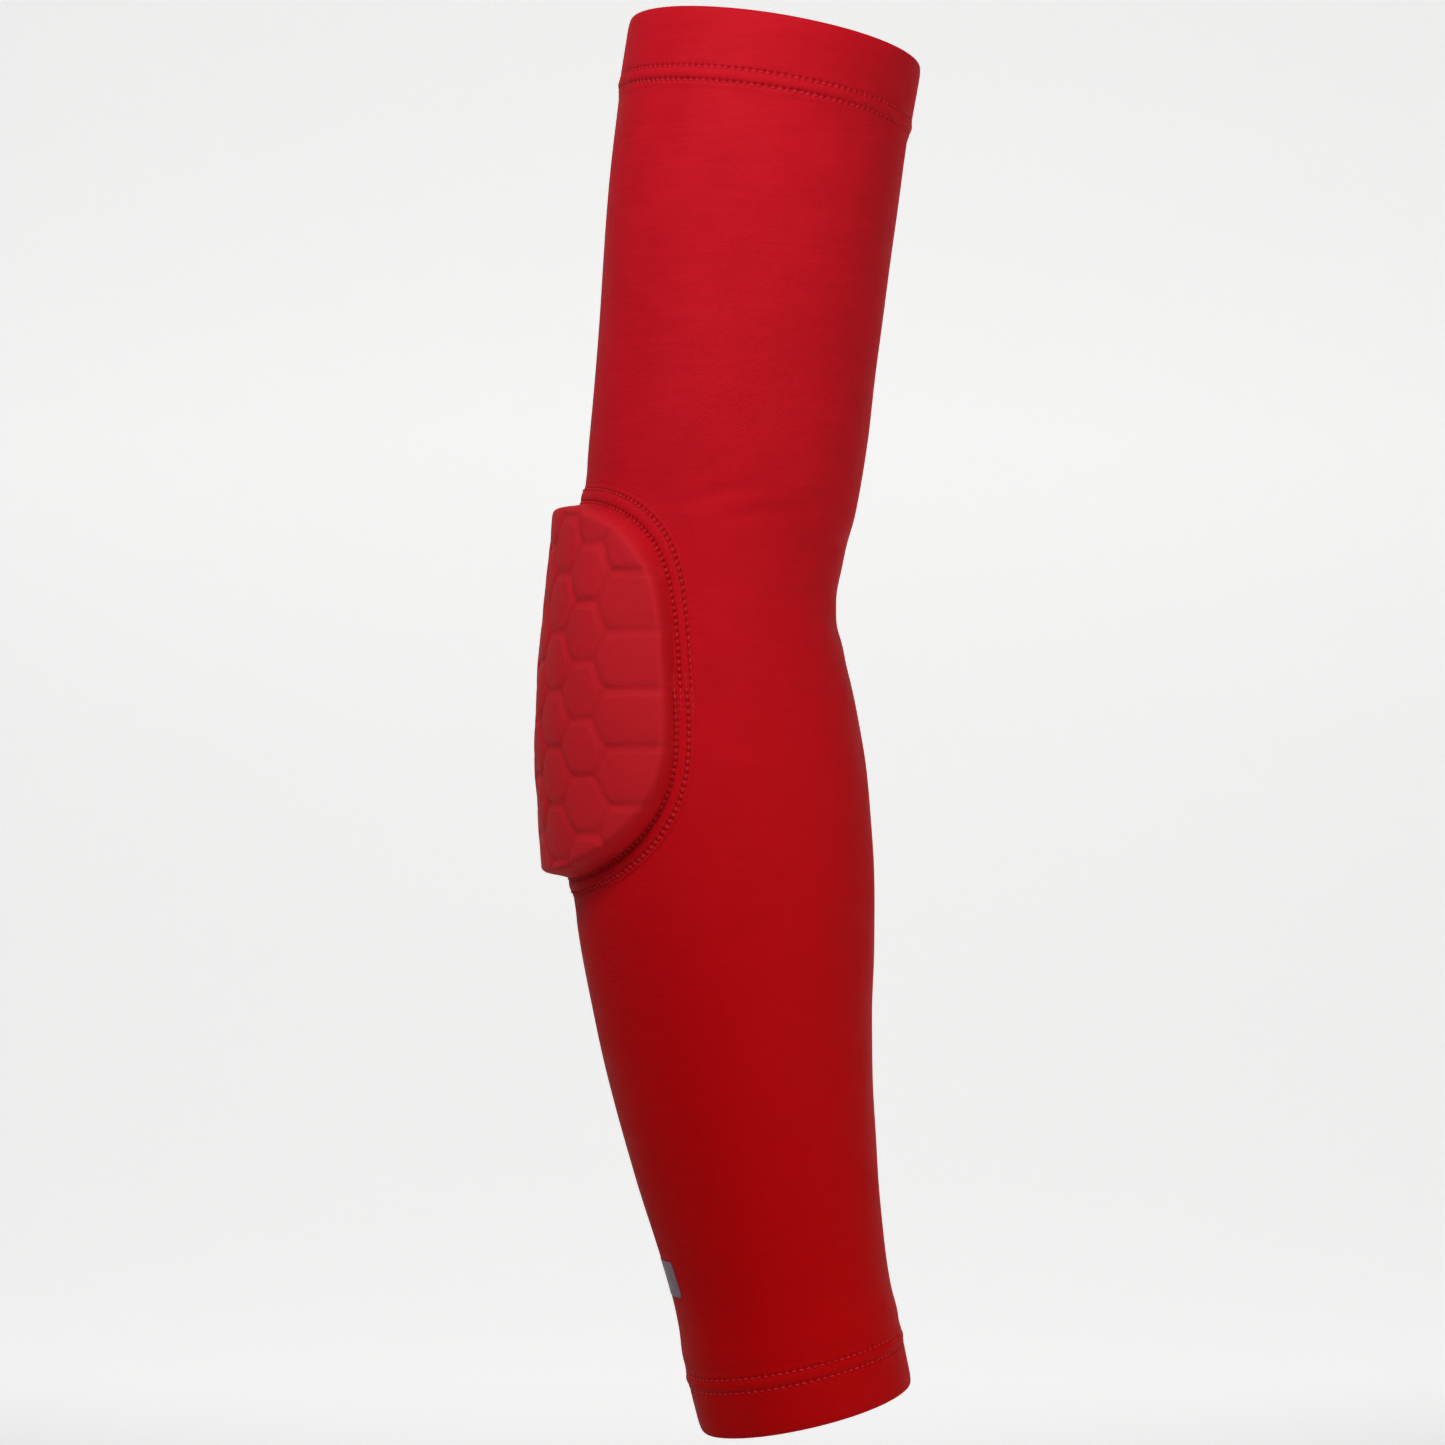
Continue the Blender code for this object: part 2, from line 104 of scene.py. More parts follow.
# Sewing
STITCH_LENGTH = 2.1
SEAM_THREAD = 0.38  # diameter
LOOPER_THREAD = 0.34
LOOPER_STEPS = 12  # points to a stitch
LOOPER_DIP = 0.10
ROW_STEPS = 10  # points to a stitch of a needle thread
HEM_THREAD_LEVEL, HEM_THREAD_SWING = -0.11, 0.17  # of a needle thread about the cloth's face
PAD_THREAD_LEVEL, PAD_THREAD_SWING = -0.02, 0.18

# Bodies that the cloth bends between
UPPER_BODY, LOWER_BODY = "upper_arm", "forearm"


# The arm's surface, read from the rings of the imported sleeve

SLEEVE_NODES = ("forearm_sleeve", "elbow_sleeve", "upper_sleeve")
RING_APART = 3.0  # rings lie further apart than this, and the points of one ring less
SAME_RING = 2.0  # where two nodes meet, their rings lie closer than this
ON_MIDDLE_PLANE = 0.02


def node_points(node):
    return np.array([v.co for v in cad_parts[node].data.vertices]) / MM


def outermost(points, side):
    """One point of each ring, its outermost on one side (-1 or 1) of the plane through the arm."""
    points = points[np.argsort(points[:, 2])]
    breaks = np.where(np.diff(points[:, 2]) > RING_APART)[0] + 1
    return np.array([ring[np.argmax(side * ring[:, 0])] for ring in np.split(points, breaks)])


def rings_of(node):
    """Height, lean, tilt, half width and half depth of each ring of a sleeve node, from the lowest up."""
    points = node_points(node)
    middle = points[np.abs(points[:, 1]) < ON_MIDDLE_PLANE]
    divide = middle[:, 0].mean()
    left = outermost(middle[middle[:, 0] < divide], -1.0)
    right = outermost(middle[middle[:, 0] > divide], 1.0)
    rows = []
    for a, b in zip(left, right):
        lean, _, height = (a + b) / 2.0
        near = points[(np.abs(points[:, 0] - lean) < 1.0) & (np.abs(points[:, 2] - height) < 1.0)]
        tilt = math.atan2(a[2] - b[2], b[0] - a[0])
        rows.append((height, lean, tilt, math.dist(a, b) / 2.0, -near[:, 1].min()))
    return rows


def ring_table():
    rows = sorted(row for node in SLEEVE_NODES for row in rings_of(node))
    apart = [rows[0]]
    for row in rows[1:]:
        if row[0] - apart[-1][0] > SAME_RING:
            apart.append(row)
    apart[-1] = rows[-1]
    return np.array(apart).T


RING_HEIGHT, RING_LEAN, RING_TILT, RING_HALF_WIDTH, RING_HALF_DEPTH = ring_table()
WRIST_RIM, UPPER_RIM = RING_HEIGHT[0], RING_HEIGHT[-1]


def through(places, values, wanted):
    """A smooth curve through a few values, read anywhere, which runs on straight past both ends."""
    places, values, wanted = (np.asarray(a, float) for a in (places, values, wanted))
    slopes = np.gradient(values, places)
    inside = np.clip(wanted, places[0], places[-1])
    i = np.clip(np.searchsorted(places, inside) - 1, 0, len(places) - 2)
    span = places[i + 1] - places[i]
    t = (inside - places[i]) / span
    value = values[i] * (1.0 + 2.0 * t) * (1.0 - t) ** 2 + values[i + 1] * t * t * (3.0 - 2.0 * t)
    value += span * t * (1.0 - t) * (slopes[i] * (1.0 - t) - slopes[i + 1] * t)
    return value + np.where(wanted < inside, slopes[0], slopes[-1]) * (wanted - inside)


def half_width(height):
    return through(RING_HEIGHT, RING_HALF_WIDTH, height)


def on_arm(turn, height, lift=0.0):
    turn, height, lift = np.broadcast_arrays(turn, height, lift)
    tilt = through(RING_HEIGHT, RING_TILT, height)
    across = -(half_width(height) + lift) * np.cos(turn)
    depth = -(through(RING_HEIGHT, RING_HALF_DEPTH, height) + lift) * np.sin(turn)
    x = through(RING_HEIGHT, RING_LEAN, height) + across * np.cos(tilt)
    return np.stack([x, depth, height - across * np.sin(tilt)], axis=-1)


def section_through(turn, level):
    """The height of the section that passes a level at this turn."""
    height = np.array(level, float)
    for _ in range(8):
        tilt = through(RING_HEIGHT, RING_TILT, height)
        height = level - half_width(height) * np.cos(turn) * np.sin(tilt)
    return height


WRAP_RADIUS = float(half_width(PAD_CENTRE)) + COVER_LIFT


def pad_to_arm(x, y):
    """The turn and height of a point of the pad's unrolled sheet."""
    turn = np.asarray(x, float) / WRAP_RADIUS
    return turn, section_through(turn, PAD_CENTRE + np.asarray(y, float))


def arm_to_pad(turn, height):
    """The point of the pad's unrolled sheet for a turn and height of the arm."""
    turn = (turn + math.pi) % math.tau - math.pi
    return turn * WRAP_RADIUS, on_arm(turn, height)[..., 2] - PAD_CENTRE


# Shapes of cloth

MEAN_RADIUS = 42.0  # of the arm, near enough to lay out features round it


def smooth_step(low, high, value):
    t = np.clip((value - low) / (high - low), 0.0, 1.0)
    return t * t * (3.0 - 2.0 * t)


def ridge(middle, width, value):
    return np.exp(-(((value - middle) / width) ** 2))


def unevenness(turn, height, size, seed):
    """A slight unevenness of about 1 either way, with features of one size, that closes round the arm."""
    rng = np.random.default_rng(seed)
    waves = 16
    total = 0.0
    for _ in range(waves):
        heading = rng.uniform(0.0, math.tau)
        cycles = round(math.tau * MEAN_RADIUS / size * math.cos(heading))
        total = total + np.sin(cycles * turn + math.tau / size * math.sin(heading) * height
                               + rng.uniform(0.0, math.tau))
    return total / math.sqrt(waves)


# Height, size and seed of the waves in the whole sleeve
BODY_WAVES = ((0.16, 70.0, 3), (0.05, 26.0, 4))


def body_unevenness(turn, height):
    """What the arm's form and the knit's give do to the whole sleeve, pad and all."""
    return sum(rise * unevenness(turn, height, size, seed) for rise, size, seed in BODY_WAVES)


def superellipse_power(y):
    return np.where(y > 0.0, PAD_SQUARENESS_ABOVE, PAD_SQUARENESS_BELOW)


def beyond_seam(x, y):
    """About how far a point of the unrolled sheet lies outside the pad seam's outer row."""
    power = superellipse_power(y)
    u, v = np.abs(x) / PAD_HALF_WIDTH, np.abs(y) / PAD_HALF_HEIGHT
    size = np.maximum(u**power + v**power, 1e-9) ** (1.0 / power)
    steepness = np.hypot(u ** (power - 1.0) / PAD_HALF_WIDTH, v ** (power - 1.0) / PAD_HALF_HEIGHT)
    return (size - 1.0) / np.maximum(steepness * size ** (1.0 - power), 1e-6)


# Soft folds: turn and height of the middle in degrees and mm, half length in degrees, half width in mm,
# rise over the fold's half length in mm, and depth in mm
FOLDS = (
    (86.0, 38.5, 12.0, 1.5, 3.6, 0.42),
    (104.0, 35.5, 13.0, 1.7, 4.0, 0.36),
    (122.0, 38.0, 18.0, 2.6, 5.0, 0.28),
    (150.0, 30.0, 24.0, 3.4, 3.0, 0.45),
    (186.0, 16.0, 34.0, 5.0, 0.0, 0.20),
    (172.0, 3.0, 30.0, 4.6, -2.0, 0.20),
    (200.0, -11.0, 30.0, 4.8, 2.0, 0.18),
    (224.0, 30.0, 22.0, 3.6, -4.0, 0.35),
    (250.0, 42.0, 16.0, 2.8, -4.0, 0.40),
    (136.0, 12.0, 16.0, 3.4, 3.0, 0.22),
    (97.0, -88.0, 11.0, 3.0, 3.5, 0.35),
    (112.0, -74.0, 10.0, 3.4, 4.0, 0.25),
)
FOLD_LIP, LIP_AWAY = 0.55, 2.1  # the lip over a fold: share of its depth, and half widths to its middle
FOLDS_FADE = 3.0  # from the pad's edge


def folds(turn, height):
    total = 0.0
    for middle, level, length, width, rise, depth in FOLDS:
        away = (np.degrees(turn) - middle + 180.0) % 360.0 - 180.0
        share = away / length
        off = (height - level - rise * share) / width
        across = ridge(0.0, 1.0, off) - FOLD_LIP * ridge(LIP_AWAY, 1.0, off)
        total = total - depth * ridge(0.0, 1.0, share) * across
    return total


# How far a hem's parts stand out or are drawn in, and over what width
HEM_RISE, HEM_FADE = 0.42, 2.6
HEM_RIM_ROLL, RIM_ROLL_WIDTH = 0.35, 1.8
NEAR_ROW_DRAW, NEAR_ROW_WIDTH = 0.18, 0.85
FAR_ROW_DRAW, FAR_ROW_WIDTH = 0.25, 0.95
BETWEEN_ROWS_RISE, BETWEEN_ROWS_WIDTH = 0.30, 1.5
PUCKER_RISE, PUCKER_WIDTH, PUCKER_SIZE = 0.07, 4.5, 7.5
# The knit drawn in round the pad, and swollen just above the wrist hem, which holds it in: how far, the
# distance of the middle from the pad's edge or the hem's far row, and the width
PAD_SEAM_DRAW, PAD_DRAW_AWAY, PAD_DRAW_WIDTH = 0.14, 4.0, 2.6
WRIST_SWELL, WRIST_SWELL_AWAY, WRIST_SWELL_WIDTH = 0.45, 5.5, 4.5
SIDE_SEAM_RISE = 0.18


def hem_relief(into, depth):
    """How far a hem stands out, against the distance in from its rim. The needle rows draw it in."""
    far = depth + SEAM_ROW_GAP
    stands = HEM_RISE * (1.0 - smooth_step(far, far + HEM_FADE, into))
    rolls_in = -HEM_RIM_ROLL * ridge(0.0, RIM_ROLL_WIDTH, into)
    drawn = -NEAR_ROW_DRAW * ridge(depth, NEAR_ROW_WIDTH, into)
    drawn = drawn - FAR_ROW_DRAW * ridge(far, FAR_ROW_WIDTH, into)
    between = BETWEEN_ROWS_RISE * ridge(depth + SEAM_ROW_GAP / 2.0, BETWEEN_ROWS_WIDTH, into)
    return stands + rolls_in + drawn + between


def hem_puckers(turn, height, into, depth, seed):
    near = ridge(depth + SEAM_ROW_GAP / 2.0, PUCKER_WIDTH, into)
    return PUCKER_RISE * near * unevenness(turn, height, PUCKER_SIZE, seed)


def sleeve_relief(turn, height):
    """How far the sleeve's outer face stands off the modelled one."""
    below_rim, above_rim = UPPER_RIM - height, height - WRIST_RIM
    relief = body_unevenness(turn, height)
    relief = relief + hem_relief(below_rim, UPPER_HEM_DEPTH) + hem_relief(above_rim, WRIST_HEM_DEPTH)
    relief = relief + hem_puckers(turn, height, below_rim, UPPER_HEM_DEPTH, 11)
    relief = relief + hem_puckers(turn, height, above_rim, WRIST_HEM_DEPTH, 12)
    outside = beyond_seam(*arm_to_pad(turn, height))
    relief = relief + folds(turn, height) * smooth_step(SEAM_MARGIN, SEAM_MARGIN + FOLDS_FADE, outside)
    relief = relief - PAD_SEAM_DRAW * ridge(SEAM_MARGIN + PAD_DRAW_AWAY, PAD_DRAW_WIDTH, outside)
    swell_middle = WRIST_HEM_DEPTH + SEAM_ROW_GAP + WRIST_SWELL_AWAY
    relief = relief + WRIST_SWELL * ridge(swell_middle, WRIST_SWELL_WIDTH, above_rim)
    seam_away = ((turn - SIDE_SEAM_TURN + math.pi) % math.tau - math.pi) * MEAN_RADIUS
    return relief + SIDE_SEAM_RISE * ridge(0.0, SIDE_SEAM_WIDTH / 2.0, seam_away)


# Meshes


def uv_map(mesh, name, corners):
    mesh.uv_layers.new(name=name).uv.foreach_set("vector", np.asarray(corners, np.float32).ravel())


def placed(name, data):
    """A new object in the scene."""
    made = bpy.data.objects.new(name, data)
    bpy.context.scene.collection.objects.link(made)
    return made


def signed_volume(points, faces):
    a, b, c, d = (points[faces[:, i]] for i in (0, 1, 2, 3))
    return (np.cross(a, b) * c).sum() + (np.cross(a, c) * d).sum()


def make_piece(name, points, faces, finish, caps=(), corner_maps=None, point_maps=None):
    """A smooth mesh from points in millimetres and four-cornered faces, with its faces turned outwards."""
    faces = np.asarray(faces)
    corner_maps = dict(corner_maps or {})
    if signed_volume(points, faces) < 0.0:
        faces = faces[:, ::-1]
        corner_maps = {key: value[:, ::-1] for key, value in corner_maps.items()}
        caps = [list(reversed(cap)) for cap in caps]
    mesh = bpy.data.meshes.new(name)
    mesh.from_pydata((points * MM).tolist(), [], faces.tolist() + list(caps))
    for key, value in corner_maps.items():
        spare = np.zeros((sum(len(cap) for cap in caps), 2))
        uv_map(mesh, key, np.concatenate([value.reshape(-1, 2), spare]))
    place = mesh.attributes.new("rest_place", "FLOAT_VECTOR", "POINT")
    place.data.foreach_set("vector", points.astype(np.float32).ravel())
    for key, value in (point_maps or {}).items():
        mesh.attributes.new(key, "FLOAT", "POINT").data.foreach_set("value", value.astype(np.float32).ravel())
    mesh.materials.append(finish)
    mesh.shade_smooth()
    piece = placed(name, mesh)
    return piece


def grid_faces(rows, columns, rows_close, columns_close):
    """Faces of a grid of points, and the row and column of each of their corners, not wrapped."""
    r, c = np.meshgrid(np.arange(rows - (not rows_close)), np.arange(columns - (not columns_close)),
                       indexing="ij")
    corner_rows = np.stack([r, r, r + 1, r + 1], axis=-1).reshape(-1, 4)
    corner_columns = np.stack([c, c + 1, c + 1, c], axis=-1).reshape(-1, 4)
    return (corner_rows % rows) * columns + corner_columns % columns, corner_rows, corner_columns


def shell_faces(rows, columns):
    """Faces of a closed shell of two equal grids, the second under the first, and the rim that joins them."""
    faces, _, _ = grid_faces(rows, columns, False, False)
    numbers = np.arange(rows * columns).reshape(rows, columns)
    rim = np.concatenate([numbers[0, :-1], numbers[:-1, -1], numbers[-1, :0:-1], numbers[:0:-1, 0]])
    after = np.roll(rim, -1)
    under = rows * columns
    band = np.stack([rim, after, after + under, rim + under], axis=1)
    return np.concatenate([faces, faces[:, ::-1] + under, band[:, ::-1]])


def shell(turn, height, top, bottom):
    """Points and faces of a closed shell between two lifts, over one grid of places on the arm."""
    layers = [on_arm(turn, height, lift).reshape(-1, 3) for lift in (top, bottom)]
    return np.concatenate(layers), shell_faces(*turn.shape)


def corner_values(faces, values):
    """A value of each point of a shell's two equal grids, read at each face's corners."""
    both = np.concatenate([values.ravel(), values.ravel()])
    return both[faces]


def bent(piece):
    """Bakes a piece's placement into its mesh; used for each piece that crosses the elbow or lies close to
    it.
    """
    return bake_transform(piece)


# Threads


def outward(turn, height):
    away = on_arm(turn, height, 1.0) - on_arm(turn, height, 0.0)
    return away / np.linalg.norm(away, axis=-1, keepdims=True)


def tube(turn, height, lift, diameter, closes, sides=6):
    """Points, faces and end caps of a thread along a path on the arm. Its up side faces away from the arm."""
    path, up = on_arm(turn, height, lift), outward(turn, height)
    count = len(path)
    ahead = np.roll(path, -1, axis=0) - np.roll(path, 1, axis=0)
    if not closes:
        ahead[0], ahead[-1] = path[1] - path[0], path[-1] - path[-2]
    ahead = ahead / np.linalg.norm(ahead, axis=1, keepdims=True)
    side = np.cross(ahead, up)
    side = side / np.linalg.norm(side, axis=1, keepdims=True)
    top = np.cross(side, ahead)
    angles = math.tau * np.arange(sides) / sides
    round_it = side[:, None] * np.cos(angles)[None, :, None] + top[:, None] * np.sin(angles)[None, :, None]
    points = (path[:, None] + diameter / 2.0 * round_it).reshape(-1, 3)
    faces, _, _ = grid_faces(count, sides, closes, True)
    caps = [] if closes else [list(range(sides)), list(range((count - 1) * sides, count * sides))]
    return points, faces, caps


def thread_piece(name, tubes, finish):
    """One piece of several tubes, each with its own faces turned outwards, so that they agree."""
    points, faces, caps, count = [], [], [], 0
    for tube_points, tube_faces, tube_caps in tubes:
        if signed_volume(tube_points - tube_points.mean(axis=0), tube_faces) < 0.0:
            tube_faces = tube_faces[:, ::-1]
        else:
            tube_caps = [list(reversed(cap)) for cap in tube_caps]
        points.append(tube_points)
        faces.append(tube_faces + count)
        caps += [[i + count for i in cap] for cap in tube_caps]
        count += len(tube_points)
    return make_piece(name, np.concatenate(points), np.concatenate(faces), finish, caps)


def stitch_wave(phase):
    """1 at the middle of a stitch and -1 at a needle hole, with a flat top."""
    wave = np.cos(math.tau * phase)
    return np.sign(wave) * np.abs(wave) ** 0.7


def looper_steps(stitches):
    """Phase, sway from side to side and dip of a looper thread, along a seam of so many stitches."""
    phase = np.arange(stitches * LOOPER_STEPS) / LOOPER_STEPS
    sway = np.clip(1.35 * np.sin(math.tau * phase), -1.0, 1.0)
    return phase, sway, -LOOPER_DIP * np.cos(2.0 * math.tau * phase)


def stitch_count(girth):
    return round(girth / STITCH_LENGTH)


def girth_at(height):
    wide, deep = half_width(height), through(RING_HEIGHT, RING_HALF_DEPTH, height)
    return math.tau * math.sqrt((wide**2 + deep**2) / 2.0)


UPPER_STITCHES = stitch_count(girth_at(UPPER_RIM - UPPER_HEM_DEPTH))
WRIST_STITCHES = stitch_count(girth_at(WRIST_RIM + WRIST_HEM_DEPTH))


def hem_row(stitches, height):
    phase = np.arange(stitches * ROW_STEPS) / ROW_STEPS
    turn = math.tau * phase / stitches
    height = np.full_like(turn, height)
    lift = sleeve_relief(turn, height) + HEM_THREAD_LEVEL + HEM_THREAD_SWING * stitch_wave(phase)
    return tube(turn, height, lift, SEAM_THREAD, True)


def looper_row(stitches, low, high, lift):
    """The looper thread on a hem's inside, to and fro between its two rows."""
    phase, sway, dip = looper_steps(stitches)
    turn = math.tau * (phase + 0.16 * np.sin(2.0 * math.tau * phase)) / stitches
    height = (low + high) / 2.0 + (high - low) / 2.0 * sway
    return tube(turn, height, lift + dip, LOOPER_THREAD, True, 5)


def make_hem_threads(name, rim, into, depth, stitches, thread, body):
    near, far = rim + into * depth, rim + into * (depth + SEAM_ROW_GAP)
    inside = -2.0 * KNIT_THICKNESS - 2.0 * LAYER_GAP - LOOPER_THREAD / 2.0
    pieces = {
        "thread_near_rim": [hem_row(stitches, near)],
        "thread_far_row": [hem_row(stitches, far)],
        "looper_thread": [looper_row(stitches, min(near, far), max(near, far), inside)],
    }
    for part, tubes in pieces.items():
        piece = thread_piece(f"{name}_stitching_{part}", tubes, thread)
        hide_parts(f"{name}_{part}")
        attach(piece, body)


# The sleeve


WALES = 470  # columns of knit round the sleeve
WALE = 0.56
COURSE = 0.5
SLEEVE_COLUMNS = 208
HEM_ROW_STEP = 0.65
SLEEVE_ROW_STEP = 1.7
INSIDE_ROW_STEP = 4.0
INNER_HEM_STEP = 2.0
PAST_HEM = 4.0  # beyond a hem's far row, the rows of points stay as close as on the hem


def steps_between(low, high, step):
    return np.linspace(low, high, max(2, math.ceil(abs(high - low) / step) + 1))


def sleeve_profile():
    """Height, lift and share of the outer relief, round the sleeve's section: up its outside, over the upper
    rim, down the turned-in hem to its raw edge, down the inside, and round the wrist hem in the same way."""
    fold = (2.0 * KNIT_THICKNESS + LAYER_GAP) / 2.0
    inner_hem = -2.0 * fold
    top, bottom = UPPER_RIM - fold, WRIST_RIM + fold
    near_upper, near_wrist = UPPER_RIM - UPPER_HEM_DEPTH, WRIST_RIM + WRIST_HEM_DEPTH
    far_upper, far_wrist = near_upper - SEAM_ROW_GAP, near_wrist + SEAM_ROW_GAP
    past_wrist, past_upper = far_wrist + PAST_HEM, far_upper - PAST_HEM
    stops = (bottom, near_wrist, far_wrist, past_wrist, past_upper, far_upper, near_upper, top)
    rows = []
    for low, high in zip(stops, stops[1:]):
        step = SLEEVE_ROW_STEP if low == past_wrist else HEM_ROW_STEP
        rows += [(h, 0.0, 1.0) for h in steps_between(low, high, step)[:-1]]
    bend = [math.pi * i / 8 for i in range(9)]
    rows += [(top + fold * math.sin(a), -fold + fold * math.cos(a), (1.0 + math.cos(a)) / 2.0) for a in bend]
    raw_upper, raw_wrist = far_upper - HEM_MARGIN, far_wrist + HEM_MARGIN
    between_layers = -KNIT_THICKNESS - LAYER_GAP
    rows += [(h, inner_hem, 0.0) for h in steps_between(top, raw_upper, INNER_HEM_STEP)[1:]]
    rows += [(raw_upper - 0.25, inner_hem + 0.3, 0.0), (raw_upper - 0.3, between_layers, 0.3)]
    inside = steps_between(raw_upper - 1.0, raw_wrist + 1.0, INSIDE_ROW_STEP)
    rows += [(h, -KNIT_THICKNESS, 1.0) for h in inside]
    rows += [(raw_wrist + 0.3, between_layers, 0.3), (raw_wrist + 0.25, inner_hem + 0.3, 0.0)]
    rows += [(h, inner_hem, 0.0) for h in steps_between(raw_wrist, bottom, INNER_HEM_STEP)]
    rows += [(bottom - fold * math.sin(a), -fold - fold * math.cos(a), (1.0 - math.cos(a)) / 2.0)
             for a in bend[1:-1]]
    return np.array(rows)


def make_sleeve(knit):
    profile = sleeve_profile()
    rows = len(profile)
    turns = math.tau * np.arange(SLEEVE_COLUMNS) / SLEEVE_COLUMNS
    height, turn = np.meshgrid(profile[:, 0], turns, indexing="ij")
    relief = sleeve_relief(turn, height) * profile[:, 2][:, None]
    points = on_arm(turn, height, profile[:, 1][:, None] + relief).reshape(-1, 3)
    faces, corner_rows, corner_columns = grid_faces(rows, SLEEVE_COLUMNS, True, True)
    after = np.roll(profile, -1, axis=0)
    steps = np.hypot(after[:, 0] - profile[:, 0], after[:, 1] - profile[:, 1])
    along = np.concatenate([[0.0], np.cumsum(steps)]) + profile[0, 0]
    round_it = corner_columns / SLEEVE_COLUMNS
    cloth = np.stack([round_it * WALES * WALE, along[corner_rows]], axis=-1)
    corner_height = np.concatenate([profile[:, 0], profile[:1, 0]])[corner_rows]
    outer = np.concatenate([profile[:, 2], profile[:1, 2]])[corner_rows] > 0.9
    from_row = np.where(corner_height > 0.0, UPPER_RIM - corner_height - UPPER_HEM_DEPTH,
                        corner_height - WRIST_RIM - WRIST_HEM_DEPTH)
    stitches = np.where(corner_height > 0.0, UPPER_STITCHES, WRIST_STITCHES)
    seam = np.stack([round_it * stitches, np.where(outer, from_row, 50.0)], axis=-1)
    piece = make_piece("sleeve_cloth", points, faces, knit,
                       corner_maps={"cloth": cloth, "stitch": seam})
    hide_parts("upper_sleeve", "elbow_sleeve", "forearm_sleeve",
                "upper_hem_turn_in", "wrist_hem_turn_in")
    return bent(piece)


# The pad


SEAM_JOG = 0.9  # how far each end of the pad's seam misses the other, either way
JOG_SHARE = 0.06  # of the seam's length, over which it swings back
PAD_SEAM_OVERLAP = 3  # stitches that each end of a row runs on past the other
CORE_RINGS = 78
CORE_STEP = 0.65  # about how far apart a core's rings lie
SHOULDER_INSET = 8.6
CELL_ROWS = 5  # either way from the middle one


def square_points(q):
    """Points of a square's edge, two units to a side's whole length, from the middle of its right side."""
    q = np.asarray(q, float) % 8.0
    turns = (0.0, 1.0, 3.0, 5.0, 7.0, 8.0)
    s = np.interp(q, turns, (1.0, 1.0, -1.0, -1.0, 1.0, 1.0))
    t = np.interp(q, turns, (0.0, 1.0, 1.0, -1.0, -1.0, 0.0))
    return s, t


def on_outline(s, t, inset):
    """The point of the pad's outline for a point of the square's edge, at an inset from the outer row."""
    power = superellipse_power(t)
    pull = np.maximum(np.abs(s) ** power + np.abs(t) ** power, 1e-9) ** (-1.0 / power)
    return (PAD_HALF_WIDTH - inset) * s * pull, (PAD_HALF_HEIGHT - inset) * t * pull


OUTLINE_Q = np.linspace(0.0, 8.0, 3201)
OUTLINE_X, OUTLINE_Y = on_outline(*square_points(OUTLINE_Q), 0.0)
OUTLINE_LENGTH = np.concatenate([[0.0], np.cumsum(np.hypot(np.diff(OUTLINE_X), np.diff(OUTLINE_Y)))])
PAD_STITCHES = stitch_count(OUTLINE_LENGTH[-1])


def seam_share(s, t):
    """How far along the pad's seam a direction lies, from 0 at its start to 1."""
    q = np.select([(s >= 0) & (np.abs(t) <= s), t > np.abs(s), (s < 0) & (np.abs(t) <= -s)],
                  [t / np.where(s == 0, 1.0, s) % 8.0, 2.0 - s / np.where(t == 0, 1.0, t),
                   4.0 + t / np.where(s == 0, 1.0, s)], 6.0 - s / np.where(t == 0, 1.0, t))
    return np.interp(q, OUTLINE_Q, OUTLINE_LENGTH) / OUTLINE_LENGTH[-1]


def seam_jog(share):
    """How far in the seam's rows lie: their start misses their end, where they meet."""
    return SEAM_JOG * (np.exp(-((1.0 - share) / JOG_SHARE) ** 2) - np.exp(-((share / JOG_SHARE) ** 2)))


def column_pitch():
    return HEX_ACROSS_FLATS * math.sqrt(3.0) / 2.0


def honeycomb(x, y):
    """Distances from a point of the pad to the nearest edge and the nearest corner of its cell, the cell's
    own number, and the way to the point from the cell's middle. The cells of both end columns run straight
    out past the pad's edge."""
    pitch = column_pitch()
    foam_half_width = PAD_HALF_WIDTH - FOAM_INSET
    ends = [side * math.floor((foam_half_width - side * HEX_SHIFT_ROUND) / pitch - END_COLUMN_SHARE)
            for side in (-1, 1)]
    nearest, middles = [], []
    for column in range(ends[0], ends[1] + 1):
        for row in range(-CELL_ROWS, CELL_ROWS + 1):
            rows_up = row + 0.5 * (column % 2)
            middle = (HEX_SHIFT_ROUND + column * pitch, HEX_SHIFT_UP + rows_up * HEX_ACROSS_FLATS)
            dx, dy = x - middle[0], y - middle[1]
            outwards = (column == ends[0]) * -1.0 + (column == ends[1]) * 1.0
            slanted = np.abs(dx) * math.sqrt(0.75) + np.abs(dy) / 2.0
            slanted = np.where(dx * outwards > 0.0, 0.0, slanted)
            nearest.append(np.maximum(np.abs(dy), slanted))
            middles.append(middle)
    nearest = np.array(nearest)
    order = np.argpartition(nearest, 3, axis=0)[:4]
    best = np.sort(np.take_along_axis(nearest, order, axis=0), axis=0)
    owner = np.argmin(nearest, axis=0)
    middle = np.array(middles)[owner]
    return HEX_ACROSS_FLATS / 2.0 - best[0], best[2] - best[0], owner, x - middle[..., 0], y - middle[..., 1]


